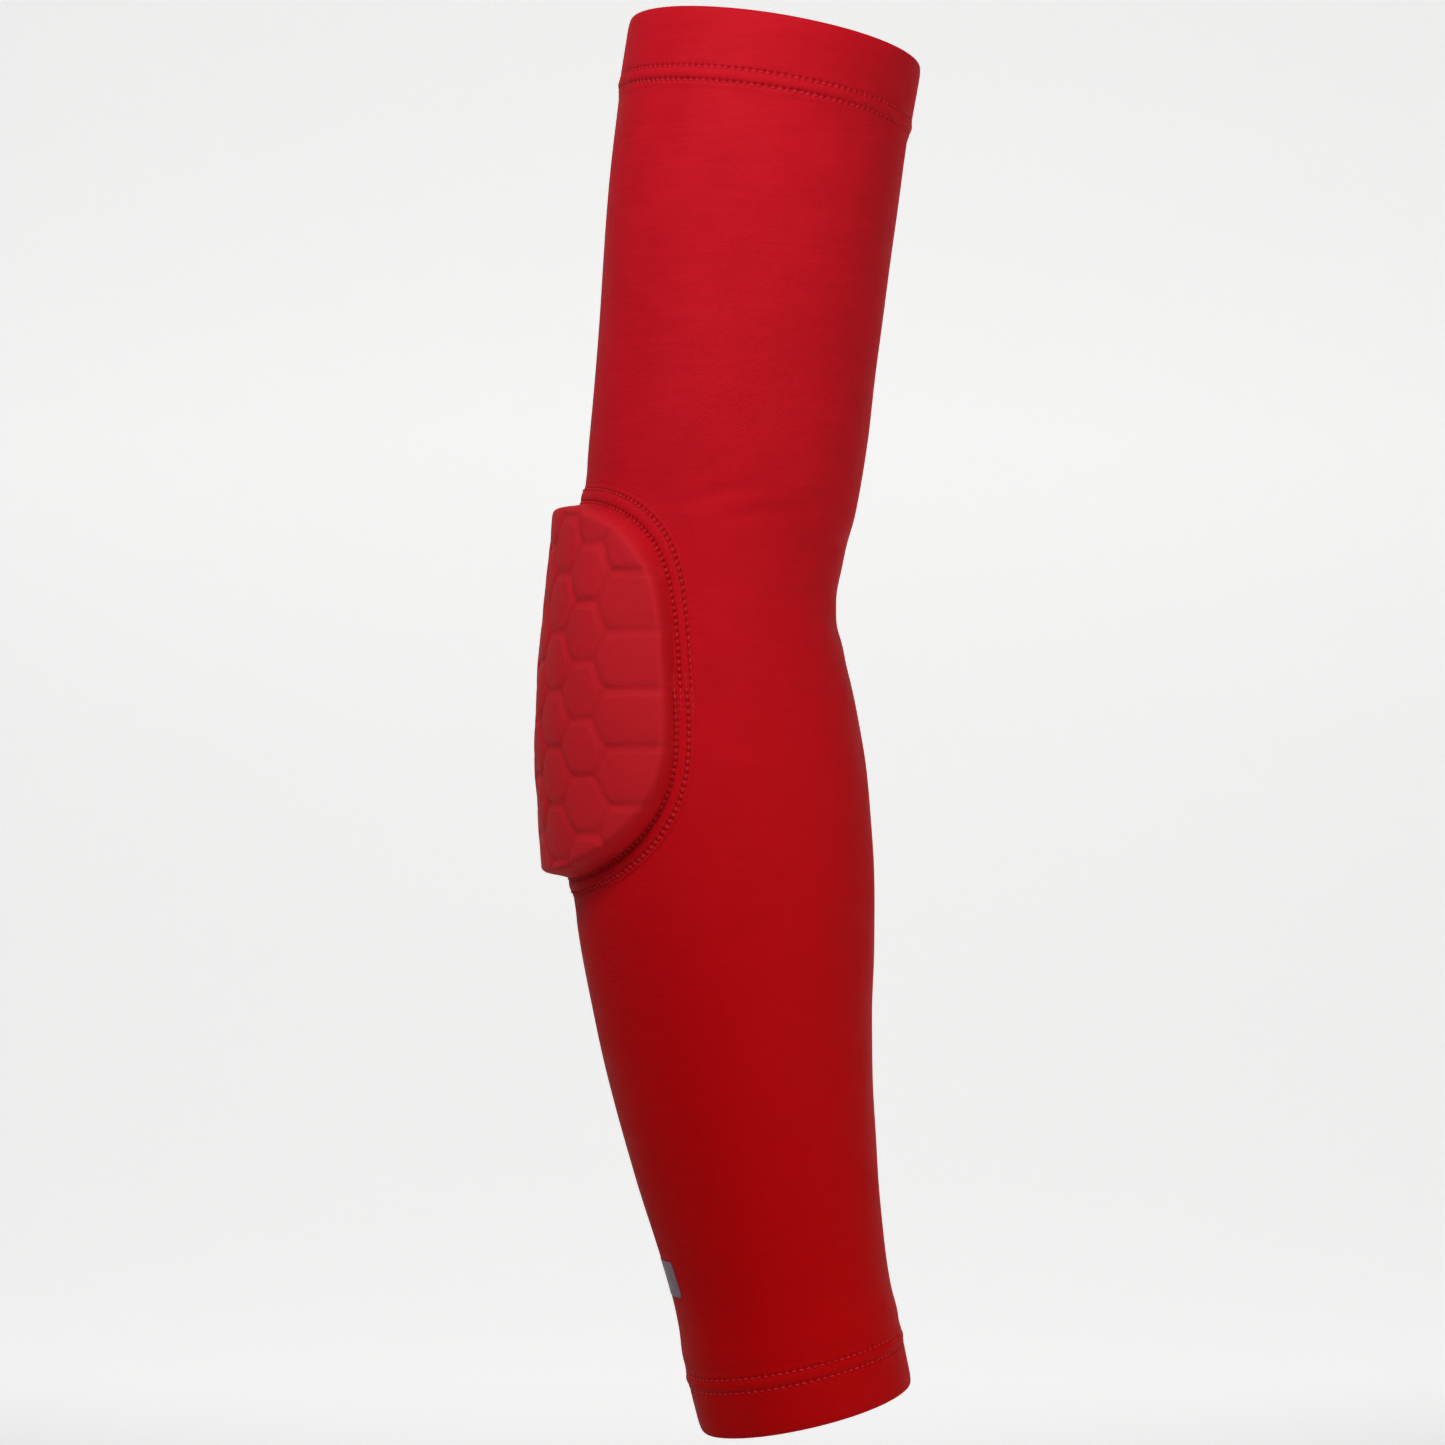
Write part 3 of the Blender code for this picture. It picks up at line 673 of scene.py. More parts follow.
# The cover's outer face over the seam, the foam's side and its shoulder, against the inset from the outer row
EDGE_PROFILE = (
    (-1.6, 0.02), (-0.8, 0.20), (0.0, 0.50), (1.0, 0.82), (2.0, 0.98), (3.0, 1.00), (3.9, 0.98), (4.4, 1.25),
    (5.0, 2.60), (5.7, 5.10), (6.4, 7.30), (7.1, 8.40), (7.8, 8.84), (8.6, 8.95), (11.0, 8.95), (80.0, 8.90),
)
FOAM_EDGE = 6.0  # from this inset on, the honeycomb shows
GROOVE_HALF_WIDTH = 2.3
GROOVE_DEPTH = 0.42
PIT_DEPTH = 0.40
PIT_SIZE = 2.8
CROWN = 0.22  # of a cell's face
CELL_LEVEL = 0.15
CELL_LEAN = 0.022  # per millimetre
NEEDLE_DRAW, HOLE_DRAW = 0.10, 0.22  # along a needle row, and on top of it at the holes


def cell_levels(owner, dx, dy):
    """Each cell stands a little higher or lower than the next, and leans a little its own way."""
    rng = np.random.default_rng(21)
    count = int(owner.max()) + 1
    levels, lean_x, lean_y = rng.uniform(-1.0, 1.0, (400, 3))[:count].T
    reach = HEX_ACROSS_FLATS / 2.0
    leans = lean_x[owner] * np.clip(dx, -reach, reach) + lean_y[owner] * dy
    return CELL_LEVEL * levels[owner] + leans * CELL_LEAN


def groove(x, y, inset):
    """Shares of a groove between cells and of a pit between three cells, and how far a cell's face stands."""
    edge, corner, owner, dx, dy = honeycomb(x, y)
    on_foam = smooth_step(4.2, 6.8, inset)
    line = 1.0 - smooth_step(0.0, GROOVE_HALF_WIDTH, edge)
    pit = ridge(0.0, PIT_SIZE, corner)
    face = smooth_step(0.0, 3.0, edge) * cell_levels(owner, dx, dy) + CROWN * smooth_step(0.5, 7.0, edge)
    return line * on_foam, pit * on_foam, face


def cover_lift(x, y, inset, share):
    places, lifts = np.array(EDGE_PROFILE).T
    lift = through(places, lifts, inset)
    line, pit, face = groove(x, y, inset)
    on_top = smooth_step(FOAM_EDGE, FOAM_EDGE + 3.0, inset)
    lift = lift - GROOVE_DEPTH * line - PIT_DEPTH * pit + on_top * (face - CROWN)
    rows_in = inset - seam_jog(share)
    drawn = ridge(0.0, 0.7, rows_in) + ridge(SEAM_ROW_GAP, 0.7, rows_in)
    at_holes = 0.5 - 0.5 * stitch_wave(share * PAD_STITCHES)
    return lift - drawn * (NEEDLE_DRAW + HOLE_DRAW * at_holes)


def pad_grid(edge_insets, core_rings):
    """A square grid of points that fills the pad's outline: x, y, inset and seam share of each, and the
    grid's own steps from its middle."""
    rings = core_rings + len(edge_insets) - 1
    steps = np.arange(-rings, rings + 1)
    i, j = np.meshgrid(steps, steps, indexing="ij")
    ring = np.maximum(np.abs(i), np.abs(j))
    s, t = i / np.maximum(ring, 1), j / np.maximum(ring, 1)
    in_core = ring <= core_rings
    inset = np.where(in_core, edge_insets[0], np.interp(ring, np.arange(core_rings, rings + 1), edge_insets))
    x, y = on_outline(s, t, inset)
    shrink = np.where(in_core, ring / core_rings, 1.0)
    x, y = np.where(ring > 0, x * shrink, 0.0), np.where(ring > 0, y * shrink, 0.0)
    inset = np.where(in_core, edge_insets[0] + (core_rings - ring) * CORE_STEP, inset)
    return x, y, inset, np.where(ring > 0, seam_share(s, t), 0.0), i, j


def pad_shell(x, y, top, bottom):
    turn, height = pad_to_arm(x, y)
    rest = body_unevenness(turn, height)
    return shell(turn, height, top + rest, bottom + rest)


def make_pad_cover(cover):
    edge = np.concatenate([
        np.linspace(SHOULDER_INSET, SEAM_ROW_GAP, 14),
        np.linspace(SEAM_ROW_GAP, 0.0, 8)[1:],
        np.linspace(0.0, -SEAM_MARGIN, 5)[1:],
    ])
    x, y, inset, share, i, j = pad_grid(edge, CORE_RINGS)
    top = cover_lift(x, y, inset, share)
    thickness = COVER_THICKNESS * smooth_step(-5.0, 1.0, inset)
    points, faces = pad_shell(x, y, top, top - thickness)
    shares, rows_in = corner_values(faces, share), corner_values(faces, inset - seam_jog(share))
    corner_i, corner_j = corner_values(faces, i), corner_values(faces, j)
    # The last faces of the seam end where it starts, so their share there is 1 and not 0
    wraps = (corner_j.mean(axis=1) < 0.0)[:, None] & (corner_j == 0) & (corner_i > 0)
    shares = np.where(wraps, 1.0, shares)
    rows_in = np.where(wraps, corner_values(faces, inset) - seam_jog(np.ones(1)), rows_in)
    # the grooves and pits, which the cover's finish darkens with painted shade and edges with a painted
    # highlight
    line, pit, _ = groove(x, y, inset)
    hollow = np.clip(0.8 * line + 0.7 * pit, 0.0, 1.0)
    over_foam = smooth_step(4.0, 8.0, inset)
    piece = make_piece(
        "pad_cover_cloth", points, faces, cover,
        corner_maps={"cloth": np.stack([corner_values(faces, x), corner_values(faces, y)], axis=-1),
                     "stitch": np.stack([shares * PAD_STITCHES, rows_in], axis=-1)},
        point_maps={"hollow": np.tile(hollow.ravel(), 2), "over_foam": np.tile(over_foam.ravel(), 2)})
    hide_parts("pad_cover")
    return bent(piece)


def make_foam(foam):
    x, y, inset, share, _, _ = pad_grid(np.array([11.0, 9.0, 8.4, 7.9, FOAM_INSET + 0.5]), 64)
    below_cover = cover_lift(x, y, inset, share) - COVER_THICKNESS - 0.25
    top = np.clip(below_cover, FOAM_LIFT + 1.5, FOAM_LIFT + FOAM_THICKNESS)
    points, faces = pad_shell(x, y, top, np.full_like(x, FOAM_LIFT))
    piece = make_piece("foam_sheet", points, faces, foam)
    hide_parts("foam_pad")
    return bent(piece)


def make_lining(lining):
    x, y, inset, share, _, _ = pad_grid(np.array([6.0, 3.9, 1.8, 0.0, -1.2]), 40)
    turn_down = smooth_step(1.0, 8.0, inset)
    top = 0.10 + (LINING_LIFT + LINING_THICKNESS - 0.10) * turn_down
    top = np.minimum(top, cover_lift(x, y, inset, share) - COVER_THICKNESS / 2.0)
    points, faces = pad_shell(x, y, top, top - LINING_THICKNESS * (0.3 + 0.7 * turn_down))
    piece = make_piece("lining_cloth", points, faces, lining)
    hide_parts("pad_lining")
    return bent(piece)


def pad_row_path(inset, overlap):
    """Turn, height, stitch phase and lift of the cover under a row of the pad's seam, past both its ends."""
    phase = np.arange(-overlap * ROW_STEPS, (PAD_STITCHES + overlap) * ROW_STEPS + 1) / ROW_STEPS
    share = np.clip(phase / PAD_STITCHES, 0.0, 1.0)
    q = np.interp((phase / PAD_STITCHES) % 1.0 * OUTLINE_LENGTH[-1], OUTLINE_LENGTH, OUTLINE_Q)
    rows_in = inset + seam_jog(share)
    x, y = on_outline(*square_points(q), rows_in)
    lift = cover_lift(x, y, rows_in, share)
    turn, height = pad_to_arm(x, y)
    return turn, height, phase, lift + body_unevenness(turn, height)


def make_pad_threads(thread):
    for name, inset in (("outer", 0.0), ("inner", SEAM_ROW_GAP)):
        turn, height, phase, lift = pad_row_path(inset, PAD_SEAM_OVERLAP)
        lift = lift + PAD_THREAD_LEVEL + PAD_THREAD_SWING * stitch_wave(phase)
        row = tube(turn, height, lift, SEAM_THREAD, False)
        piece = thread_piece(f"pad_stitching_{name}_row", [row], thread)
        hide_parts(f"pad_seam_thread_{name}")
        bent(piece)
    phase, sway, dip = looper_steps(PAD_STITCHES)
    q = np.interp(phase / PAD_STITCHES * OUTLINE_LENGTH[-1], OUTLINE_LENGTH, OUTLINE_Q)
    x, y = on_outline(*square_points(q), SEAM_ROW_GAP / 2.0 * (1.0 + sway))
    turn, height = pad_to_arm(x, y)
    inside = -KNIT_THICKNESS - LAYER_GAP - LOOPER_THREAD / 2.0
    looper = tube(turn, height, inside + dip + body_unevenness(turn, height), LOOPER_THREAD, True, 5)
    piece = thread_piece("pad_stitching_looper", [looper], thread)
    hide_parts("pad_seam_looper_thread")
    bent(piece)


# The side seam, the grip strips and the printed bar


FLATLOCK_STITCH = 2.0
FLATLOCK_NEEDLE_THREAD = 0.36
NEEDLE_ROW_INSET, COVER_THREAD_INSET = 0.4, 0.2  # from the seam's edge
NEEDLE_ROW_LEVEL, NEEDLE_ROW_SWING = 0.10, 0.18
COVER_THREAD_LEVEL, COVER_THREAD_SWING = 0.20, 0.12


def make_side_seam(thread):
    """A flatlock seam: two needle rows, and two cover threads that cross to and fro between them."""
    clear = SEAM_ROW_GAP + 1.0
    low, high = WRIST_RIM + WRIST_HEM_DEPTH + clear, UPPER_RIM - UPPER_HEM_DEPTH - clear
    count = int((high - low) / FLATLOCK_STITCH)
    phase = np.arange(count * LOOPER_STEPS + 1) / LOOPER_STEPS
    level = low + (high - low) * phase / count
    tubes = []
    for side, lag in ((-1.0, 0.0), (1.0, 0.5)):
        row = side * (SIDE_SEAM_WIDTH / 2.0 - NEEDLE_ROW_INSET)
        turn = SIDE_SEAM_TURN + row / half_width(level)
        lift = sleeve_relief(turn, level) + NEEDLE_ROW_LEVEL + NEEDLE_ROW_SWING * stitch_wave(phase + lag)
        tubes.append(tube(turn, level, lift, FLATLOCK_NEEDLE_THREAD, False))
    for lag in (0.0, 0.5):
        sway = np.clip(1.25 * np.sin(math.tau * (phase + lag)), -1.0, 1.0)
        turn = SIDE_SEAM_TURN + sway * (SIDE_SEAM_WIDTH / 2.0 - COVER_THREAD_INSET) / half_width(level)
        lift = sleeve_relief(turn, level) + COVER_THREAD_LEVEL
        lift = lift + COVER_THREAD_SWING * np.cos(math.tau * (phase + lag))
        tubes.append(tube(turn, level, lift, LOOPER_THREAD, False, 5))
    piece = thread_piece("flatlock_side_seam", tubes, thread)
    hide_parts("side_seam_upper", "side_seam_elbow", "side_seam_forearm")
    return bent(piece)


GRIP_STRIPS = 3
GRIP_RISE = 0.62
GRIP_BITE = 0.12  # how far the silicone soaks into the hem


def make_grip_strips(silicone):
    """Soft silicone bands inside the upper hem, domed, and slightly uneven as they are when printed."""
    columns = 160
    turns = math.tau * np.arange(columns) / columns
    section = [(math.cos(a), math.sin(a) ** 0.8) for a in (math.pi * k / 8 for k in range(1, 8))]
    section = np.array([(1.0, 0.0)] + section + [(-1.0, 0.0)])
    for i in range(GRIP_STRIPS):
        middle = UPPER_RIM - GRIP_FIRST_STRIP - i * GRIP_STRIP_PITCH
        turn, across = np.meshgrid(turns, section[:, 0])
        rise = np.meshgrid(turns, section[:, 1])[1]
        width = GRIP_STRIP_WIDTH / 2.0 * (1.0 + 0.05 * unevenness(turn, 0.0 * turn, 30.0, 40 + i))
        base = -2.0 * KNIT_THICKNESS - LAYER_GAP - GRIP_BITE
        points = on_arm(turn, middle + across * width, base - GRIP_RISE * rise).reshape(-1, 3)
        faces, _, _ = grid_faces(len(section), columns, True, True)
        piece = make_piece(f"silicone_strip_{i + 1}", points, faces, silicone)
        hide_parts(f"grip_strip_{i + 1}")
        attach(piece, UPPER_BODY)


BAR_CORNER = 1.4
BAR_TOP, BAR_BOTTOM = 0.16, 0.04  # above the knit's face


def make_printed_bar(ink):
    """A plain bar of transfer ink with round corners, a skin on the knit's face."""
    columns, rows = 64, 28
    s, t = np.meshgrid(np.linspace(-1.0, 1.0, columns), np.linspace(-1.0, 1.0, rows), indexing="ij")
    x, y = s * BAR_WIDTH / 2.0, t * BAR_HEIGHT / 2.0
    straight_x, straight_y = BAR_WIDTH / 2.0 - BAR_CORNER, BAR_HEIGHT / 2.0 - BAR_CORNER
    in_x, in_y = np.abs(x) - straight_x, np.abs(y) - straight_y
    at_corner = (in_x > 0.0) & (in_y > 0.0)
    reach = np.maximum(in_x, in_y) / np.maximum(np.hypot(in_x, in_y), 1e-6)
    x = np.where(at_corner, np.sign(x) * (straight_x + in_x * reach), x)
    y = np.where(at_corner, np.sign(y) * (straight_y + in_y * reach), y)
    height = BAR_HEIGHT_ON_ARM + y
    turn = x / half_width(height)
    rest = sleeve_relief(turn, height)
    points, faces = shell(turn, height, rest + BAR_TOP, rest + BAR_BOTTOM)
    cloth = np.stack([corner_values(faces, x), corner_values(faces, y)], axis=-1)
    piece = make_piece("printed_bar_ink", points, faces, ink, corner_maps={"cloth": cloth})
    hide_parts("printed_bar")
    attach(piece, LOWER_BODY)


# Materials


def colour(red, green, blue):
    return (red, green, blue, 1.0)


KNIT_DARK, KNIT_LIGHT = colour(0.52, 0.0045, 0.0130), colour(0.60, 0.0075, 0.0190)
KNIT_PAINTED_SHADE_AT_WRIST = colour(0.53, 0.0, 0.0012)
# painted shade: a deep red laid into the knit's gaps, the needle holes and the pad's grooves, where shade
# falls
PAINTED_SHADE_RED = colour(0.16, 0.0, 0.002)
PAD_TONE = colour(0.57, 0.020, 0.030)
# painted highlight: a paler red along the edges of the honeycomb's grooves
PAD_PAINTED_HIGHLIGHT = colour(0.66, 0.060, 0.070)
THREAD_DARK, THREAD_LIGHT = colour(0.52, 0.006, 0.012), colour(0.68, 0.032, 0.042)
FOAM_DARK, FOAM_LIGHT = colour(0.030, 0.030, 0.033), colour(0.075, 0.075, 0.080)
LINING_DARK, LINING_LIGHT = colour(0.055, 0.055, 0.060), colour(0.110, 0.110, 0.115)
SILICONE_DARK, SILICONE_LIGHT = colour(0.62, 0.60, 0.60), colour(0.80, 0.79, 0.79)
INK_DARK, INK_LIGHT = colour(0.13, 0.075, 0.115), colour(0.19, 0.115, 0.165)
INK_CRACK = colour(0.20, 0.02, 0.03)
PAPER_DARK, PAPER_LIGHT = colour(0.86, 0.86, 0.86), colour(0.89, 0.89, 0.89)
WHITE = colour(1.0, 1.0, 1.0)

CLOTH_GLOSS = dict(Specular_IOR_Level=0.06, Sheen_Roughness=0.40, Sheen_Tint=colour(1.0, 0.35, 0.25))
DEEPEST_HEIGHT, PALEST_HEIGHT = -190.0, 110.0  # between these the knit's painted light changes, from a painted-shade red at the wrist to a paler, hazier red as if lit from above
# how strongly the needle holes and their dents are darkened with painted shade, on the knit and on the pad's
# cover
KNIT_PAINTED_HOLE_SHADE, PAD_PAINTED_HOLE_SHADE = 0.16, 0.50
KNIT_SHEEN, PAD_SHEEN = 0.01, 0.03


class Finish:
    """The nodes of one material, with short calls to add to them."""

    def __init__(self, name, **settings):
        self.material = bpy.data.materials.new(name)
        self.material.use_nodes = True
        self.tree = self.material.node_tree
        self.shader = self.tree.nodes["Principled BSDF"]
        for key, value in settings.items():
            self.shader.inputs[key.replace("_", " ")].default_value = value

    def put(self, socket, value):
        if isinstance(value, bpy.types.NodeSocket):
            self.tree.links.new(value, socket)
        else:
            socket.default_value = value

    def add(self, kind, inputs, **settings):
        made = self.tree.nodes.new(kind)
        for key, value in settings.items():
            setattr(made, key, value)
        for key, value in inputs.items():
            self.put(made.inputs[key], value)
        return made

    def math(self, operation, *values):
        made = self.add("ShaderNodeMath", {}, operation=operation)
        for socket, value in zip(made.inputs, values):
            self.put(socket, value)
        return made.outputs[0]

    def plus(self, first, second):
        return self.math("ADD", first, second)

    def minus(self, first, second):
        return self.math("SUBTRACT", first, second)

    def times(self, first, second, then_plus=0.0):
        return self.math("MULTIPLY_ADD", first, second, then_plus)

    def step(self, value, low, high, to_low=0.0, to_high=1.0):
        """A smooth change from one value to another."""
        inputs = {"Value": value, "From Min": low, "From Max": high, "To Min": to_low, "To Max": to_high}
        return self.add("ShaderNodeMapRange", inputs, interpolation_type="SMOOTHSTEP").outputs[0]

    def blend(self, share, first, second):
        made = self.add("ShaderNodeMix", {}, data_type="RGBA")
        self.put(made.inputs[0], share)
        self.put(made.inputs[6], first)
        self.put(made.inputs[7], second)
        return made.outputs[2]

    def split(self, vector):
        return self.add("ShaderNodeSeparateXYZ", {"Vector": vector}).outputs

    def uv(self, name):
        across, along, _ = self.split(self.add("ShaderNodeUVMap", {}, uv_map=name).outputs[0])
        return across, along

    def attribute(self, name, output="Fac"):
        return self.add("ShaderNodeAttribute", {}, attribute_name=name).outputs[output]

    def place(self):
        return self.attribute("rest_place", "Vector")

    def noise(self, size, detail=3.0, stretch=(1.0, 1.0, 1.0)):
        """A value of about a half everywhere, with features of a size in millimetres."""
        place = self.add("ShaderNodeVectorMath", {0: self.place(), 1: stretch}, operation="MULTIPLY")
        inputs = {"Vector": place.outputs[0], "Scale": 1.0 / size, "Detail": detail, "Roughness": 0.55}
        return self.add("ShaderNodeTexNoise", inputs).outputs[0]

    def bump(self, height, distance, under=None):
        inputs = {"Height": height, "Distance": distance * MM, "Strength": 1.0}
        if under is not None:
            inputs["Normal"] = under
        return self.add("ShaderNodeBump", inputs).outputs[0]

    def done(self, base, pattern, smoothest, roughest, normal=None):
        """The finished material: its colour, a roughness that follows a pattern, and its fine relief."""
        self.put(self.shader.inputs["Base Color"], base)
        self.put(self.shader.inputs["Roughness"], self.step(pattern, 0.3, 0.7, smoothest, roughest))
        if normal is not None:
            self.put(self.shader.inputs["Normal"], normal)
        return self.material


def knit_loops(finish):
    """Rows of interlocked knit loops: two slanted legs to each wale, which close into small points."""
    u, v = finish.uv("cloth")
    across = finish.math("FRACT", finish.math("DIVIDE", u, WALE))
    away = finish.math("ABSOLUTE", finish.minus(across, 0.5))
    legs = finish.math("SINE", finish.times(away, math.tau))
    slant = finish.plus(finish.math("DIVIDE", v, COURSE), finish.times(away, 1.3))
    rows = finish.math("SINE", finish.times(slant, math.tau))
    return finish.times(legs, finish.times(rows, 0.4, 0.6))


def needle_holes(finish):
    """Shares of a needle hole, and of the dent round it, in both rows of a seam."""
    phase, rows_in = finish.uv("stitch")
    along = finish.times(finish.minus(finish.math("FRACT", phase), 0.5), STITCH_LENGTH)
    apart = []
    for row in (0.0, SEAM_ROW_GAP):
        across = finish.minus(rows_in, row)
        apart.append(finish.math("SQRT", finish.times(along, along, finish.times(across, across))))
    nearest = finish.math("MINIMUM", *apart)
    return finish.step(nearest, 0.25, 0.52, 1.0, 0.0), finish.step(nearest, 0.4, 1.1, 1.0, 0.0)


def moulded(finish, shown):
    """The cover's colour where it is stretched over the foam, with painted shade in the grooves and pits and
    a paler painted highlight along the grooves' edges.
    """
    hollow = finish.attribute("hollow")
    shown = finish.blend(finish.times(finish.attribute("over_foam"), 0.55), shown, PAD_TONE)
    # painted shade in the honeycomb's grooves and pits
    shown = finish.blend(finish.times(hollow, 0.04), shown, PAINTED_SHADE_RED)
    from_edge = finish.math("ABSOLUTE", finish.minus(hollow, 0.16))
    # painted highlight along the grooves' edges
    return finish.blend(finish.step(from_edge, 0.0, 0.14, 0.08, 0.0), shown, PAD_PAINTED_HIGHLIGHT)


def cloth_finish(name, painted_hole_shade, sheen, over_pad=False):
    """Knit cloth with painted light in its colour: a paler, hazier red high up as if lit from above,
    deepening to a painted-shade red towards the wrist.
    """
    finish = Finish(name, Sheen_Weight=sheen, **CLOTH_GLOSS)
    loops = knit_loops(finish)
    streaks = finish.noise(1.6, 2.0, (0.08, 0.08, 1.0))
    mottle = finish.noise(22.0)
    holes, dents = needle_holes(finish)
    share = finish.plus(finish.times(mottle, 1.1, -0.43), finish.times(streaks, 0.5))
    share = finish.plus(share, finish.times(finish.noise(0.5, 2.0), 0.3, -0.05))
    shown = finish.blend(finish.step(share, 0.1, 0.9), KNIT_DARK, KNIT_LIGHT)
    height = finish.split(finish.place())[2]
    # painted light: the colour blends from the hazier, lit red high up to a deeper, shaded red at the wrist
    shown = finish.blend(finish.step(height, DEEPEST_HEIGHT, PALEST_HEIGHT, 1.0, 0.0), shown, KNIT_PAINTED_SHADE_AT_WRIST)
    # painted shade in the gaps between the knit's loops
    shown = finish.blend(finish.times(finish.minus(1.0, loops), 0.12), shown, PAINTED_SHADE_RED)
    if over_pad:
        shown = moulded(finish, shown)
    # painted shade in the needle holes and in the dents round them
    shown = finish.blend(finish.times(dents, 0.15 * painted_hole_shade), shown, PAINTED_SHADE_RED)
    shown = finish.blend(finish.times(holes, painted_hole_shade), shown, PAINTED_SHADE_RED)
    normal = finish.bump(finish.noise(9.0, 2.0), 0.25)
    normal = finish.bump(streaks, 0.03, normal)
    normal = finish.bump(loops, 0.05, normal)
    normal = finish.bump(finish.minus(1.0, finish.plus(holes, dents)), 0.20, normal)
    return finish.done(shown, mottle, 0.56, 0.68, normal)


def thread_finish():
    finish = Finish("sewing_thread_twist", Specular_IOR_Level=0.12)
    fibres = finish.noise(0.22, 2.0, (1.0, 1.0, 2.0))
    share = finish.times(finish.noise(3.0, 2.0), 0.7, finish.times(fibres, 0.5))
    shown = finish.blend(finish.step(share, 0.35, 0.85), THREAD_DARK, THREAD_LIGHT)
    return finish.done(shown, fibres, 0.35, 0.55, finish.bump(fibres, 0.08))


def foam_finish():
    finish = Finish("closed_cell_foam")
    cells = finish.add("ShaderNodeTexVoronoi", {"Vector": finish.place(), "Scale": 1.6}).outputs["Distance"]
    patches = finish.noise(8.0)
    share = finish.times(cells, 0.6, finish.times(patches, 0.4))
    shown = finish.blend(finish.step(share, 0.2, 0.8), FOAM_DARK, FOAM_LIGHT)
    return finish.done(shown, patches, 0.80, 0.92, finish.bump(cells, 0.15))


def lining_finish():
    finish = Finish("lining_tricot", Sheen_Weight=0.2)
    ribs = finish.math("SINE", finish.times(finish.noise(2.0, 2.0, (3.0, 3.0, 0.5)), 40.0))
    patches = finish.noise(12.0)
    shown = finish.blend(patches, LINING_DARK, LINING_LIGHT)
    return finish.done(shown, patches, 0.75, 0.90, finish.bump(ribs, 0.04))


def silicone_finish():
    finish = Finish("milky_silicone", Subsurface_Weight=0.25, Subsurface_Scale=0.0008, Coat_Weight=0.15)
    ripples = finish.noise(1.2, 2.0)
    shown = finish.blend(finish.noise(6.0), SILICONE_DARK, SILICONE_LIGHT)
    return finish.done(shown, ripples, 0.26, 0.42, finish.bump(ripples, 0.05))


def ink_finish():
    """A thin grey print that lets the knit's relief through, with fine cracks from stretching."""
    finish = Finish("transfer_print_ink", Sheen_Weight=0.1)
    inputs = {"Vector": finish.place(), "Scale": 0.55}
    cells = finish.add("ShaderNodeTexVoronoi", inputs, feature="DISTANCE_TO_EDGE")
    cracks = finish.step(cells.outputs["Distance"], 0.0, 0.035, 1.0, 0.0)
    patches = finish.noise(3.5)
    shown = finish.blend(patches, INK_DARK, INK_LIGHT)
    shown = finish.blend(finish.times(cracks, 0.45), shown, INK_CRACK)
    normal = finish.bump(cracks, -0.06, finish.bump(knit_loops(finish), 0.05))
    return finish.done(shown, patches, 0.42, 0.55, normal)


# Stage, light and camera


FLOOR_DROP = 0.30  # the sleeve hangs as if an arm still held it
FLOOR_REACH = 16.0
FLOOR_BEND, FLOOR_BEND_STEPS = 0.8, 12
BACKDROP_PLACE, BACKDROP_HEIGHT = 2.4, 3.5
# painted light: the paper's own glow, brightest in a pool behind the sleeve
POOL_RADIUS = 1.05
POOL_END = 1.9 * POOL_RADIUS
POOL_GLOW, PAPER_GLOW = 0.59, 0.09
HORIZON_GLOW, SKY_GLOW = 0.16, 0.05
HORIZON_UNTIL, SKY_FROM = 0.2, 0.7  # of the way from level to straight up
CAMERA_PLACE = (0.00525, -1.0, -0.02625)
FRAME_WIDTH = 0.4335  # of the picture, a metre from the camera
LAMPS = (
    # name, place, target, size, power, tint
    ("key_light", (-0.21, -0.57, 0.57), (0.02, 0.0, 0.10), (0.26, 0.26), 5.5, (1.0, 1.0, 1.0)),
    ("fill_light", (1.1, -0.50, -0.10), (0.0, 0.0, -0.02), (0.5, 0.8), 4.7, (1.0, 0.86, 0.72)),
)


def stage_finish():
    """Plain pale paper with a faint grain, which glows by itself in a painted pool of light behind the
    sleeve.
    """
    finish = Finish("pale_studio_paper", Emission_Color=WHITE)
    place = finish.add("ShaderNodeTexCoord", {}).outputs["Object"]
    pool_middle = (0.0, BACKDROP_PLACE, CAMERA_PLACE[2])
    away = finish.add("ShaderNodeVectorMath", {0: place, 1: pool_middle}, operation="DISTANCE")
    # painted light: the paper glows by itself, strongest in the pool and fainter outside it
    glow = finish.step(away.outputs["Value"], POOL_RADIUS, POOL_END, POOL_GLOW, PAPER_GLOW)
    finish.put(finish.shader.inputs["Emission Strength"], glow)
    grain = finish.add("ShaderNodeTexNoise", {"Scale": 40.0, "Detail": 3.0}).outputs[0]
    return finish.done(finish.blend(grain, PAPER_DARK, PAPER_LIGHT), grain, 0.85, 0.95)


def make_stage():
    """A floor that curves up into a backdrop behind the sleeve."""
    floor = cad_box[0].z - FLOOR_DROP
    angles = [math.pi / 2 * k / FLOOR_BEND_STEPS for k in range(FLOOR_BEND_STEPS + 1)]
    profile = [(-FLOOR_REACH, 0.0)]
    profile += [(BACKDROP_PLACE - FLOOR_BEND * (1.0 - math.sin(a)), FLOOR_BEND * (1.0 - math.cos(a)))
                for a in angles]
    profile += [(BACKDROP_PLACE, BACKDROP_HEIGHT)]
    points = [(side * FLOOR_REACH, y, floor + z) for y, z in profile for side in (-1.0, 1.0)]
    faces = [(2 * k, 2 * k + 1, 2 * k + 3, 2 * k + 2) for k in range(len(profile) - 1)]
    mesh = bpy.data.meshes.new("studio_floor")
    mesh.from_pydata(points, [], faces)
    mesh.shade_smooth()
    mesh.materials.append(stage_finish())
    piece = placed("studio_floor", mesh)


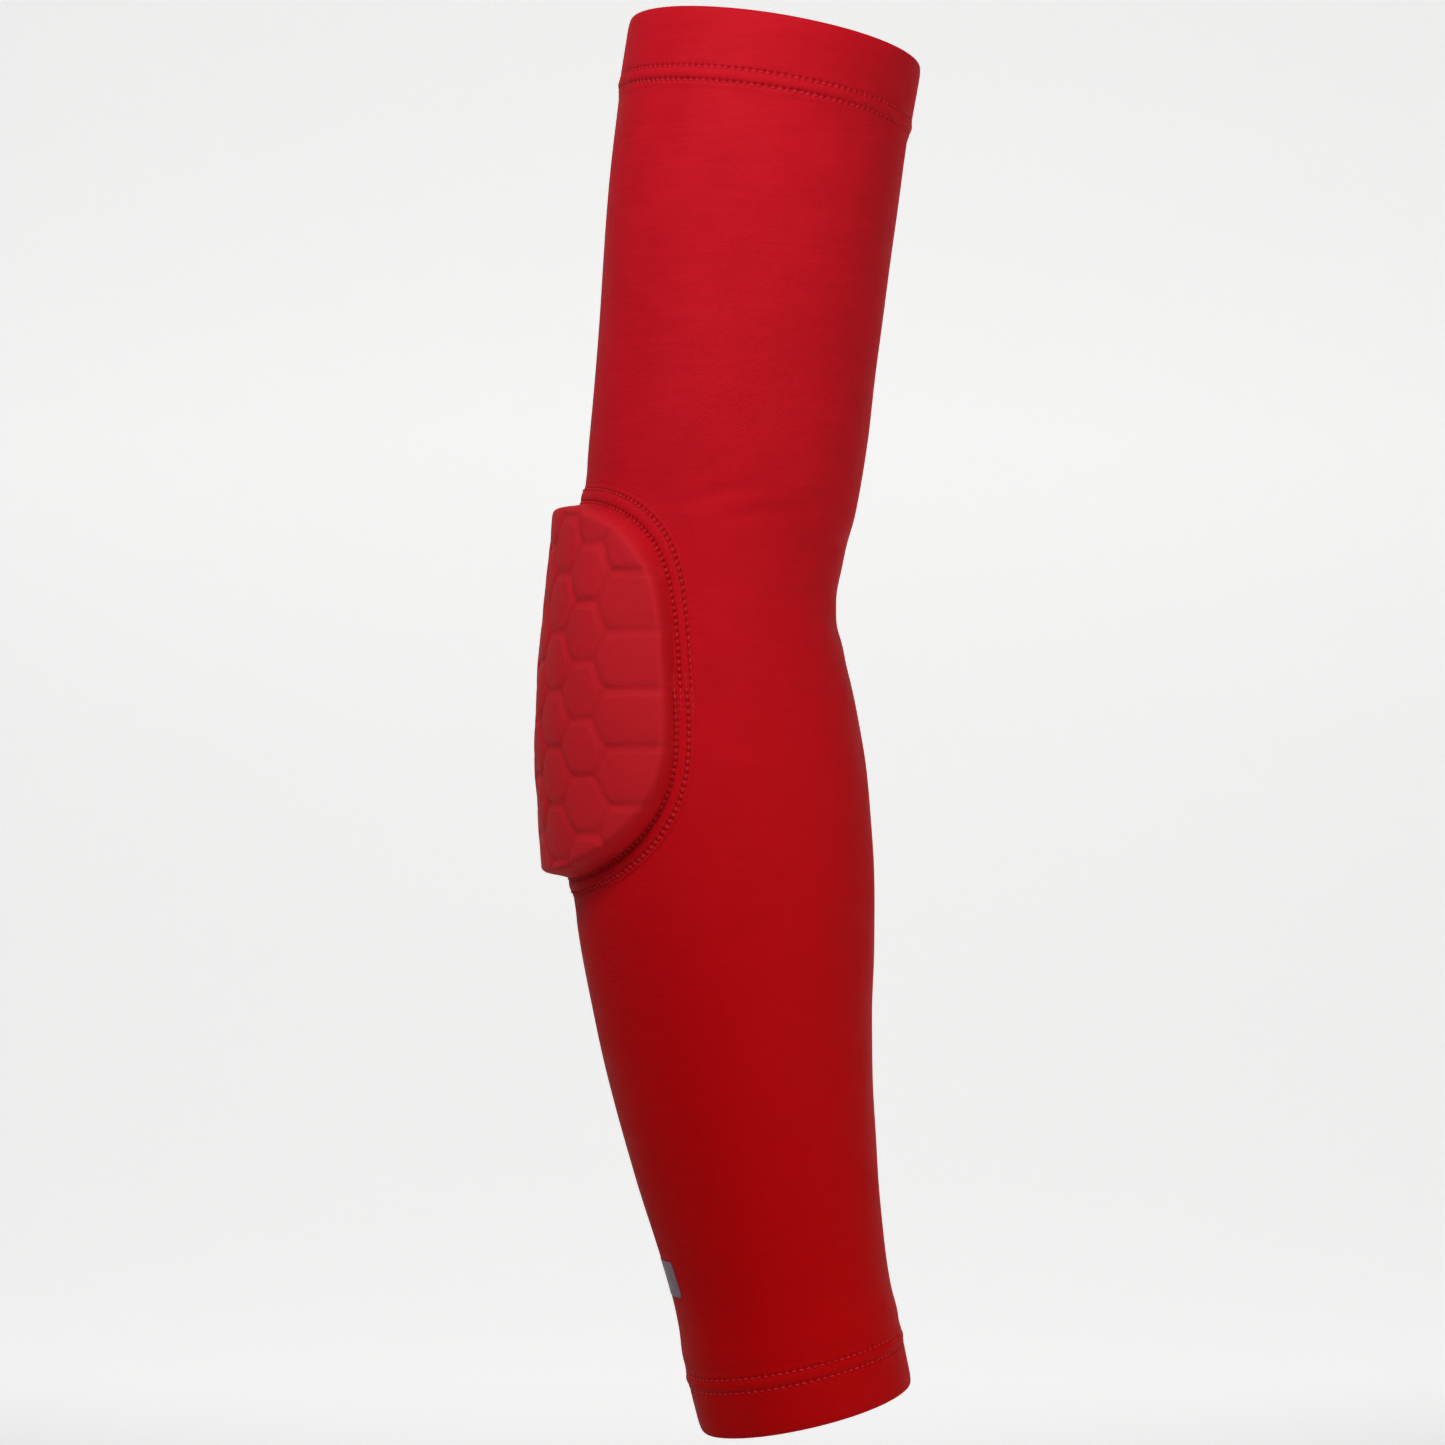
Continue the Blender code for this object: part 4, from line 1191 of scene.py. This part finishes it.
def make_world():
    """Soft light from all round, which fades from the horizon to the sky."""
    world = bpy.data.worlds.new("studio")
    world.use_nodes = True
    tree = world.node_tree
    up = tree.nodes.new("ShaderNodeSeparateXYZ")
    tree.links.new(tree.nodes.new("ShaderNodeTexCoord").outputs["Generated"], up.inputs[0])
    glow = tree.nodes.new("ShaderNodeMapRange")
    glow.interpolation_type = "SMOOTHSTEP"
    tree.links.new(up.outputs["Z"], glow.inputs["Value"])
    glow.inputs["From Min"].default_value = HORIZON_UNTIL
    glow.inputs["From Max"].default_value = SKY_FROM
    glow.inputs["To Min"].default_value = HORIZON_GLOW
    glow.inputs["To Max"].default_value = SKY_GLOW
    background = tree.nodes["Background"]
    background.inputs["Color"].default_value = WHITE
    tree.links.new(glow.outputs[0], background.inputs["Strength"])
    bpy.context.scene.world = world


def make_lamps():
    for name, place, target, size, power, tint in LAMPS:
        light = bpy.data.lights.new(name, "AREA")
        light.shape = "RECTANGLE"
        light.size, light.size_y = size
        light.energy = power
        light.color = tint
        lamp = placed(name, light)
        lamp.location = place
        lamp.rotation_euler = (Vector(target) - Vector(place)).to_track_quat("-Z", "Y").to_euler()


def make_camera():
    camera = bpy.data.cameras.new("camera")
    camera.sensor_width = 36.0
    camera.lens = camera.sensor_width * abs(CAMERA_PLACE[1]) / FRAME_WIDTH
    camera.clip_start = 0.05
    holder = placed("camera", camera)
    holder.location = CAMERA_PLACE
    holder.rotation_euler = (math.pi / 2.0, 0.0, 0.0)
    bpy.context.scene.camera = holder


def main():
    bpy.context.scene.view_settings.view_transform = "Standard"
    make_camera()
    make_stage()
    make_world()
    make_lamps()
    thread = thread_finish()
    make_sleeve(cloth_finish("compression_jersey", KNIT_PAINTED_HOLE_SHADE, KNIT_SHEEN))
    make_hem_threads("upper_hem", UPPER_RIM, -1.0, UPPER_HEM_DEPTH, UPPER_STITCHES, thread, UPPER_BODY)
    make_hem_threads("wrist_hem", WRIST_RIM, 1.0, WRIST_HEM_DEPTH, WRIST_STITCHES, thread, LOWER_BODY)
    make_side_seam(thread)
    make_grip_strips(silicone_finish())
    make_lining(lining_finish())
    make_foam(foam_finish())
    make_pad_cover(cloth_finish("pad_cover_jersey", PAD_PAINTED_HOLE_SHADE, PAD_SHEEN, over_pad=True))
    make_pad_threads(thread)
    make_printed_bar(ink_finish())


main()
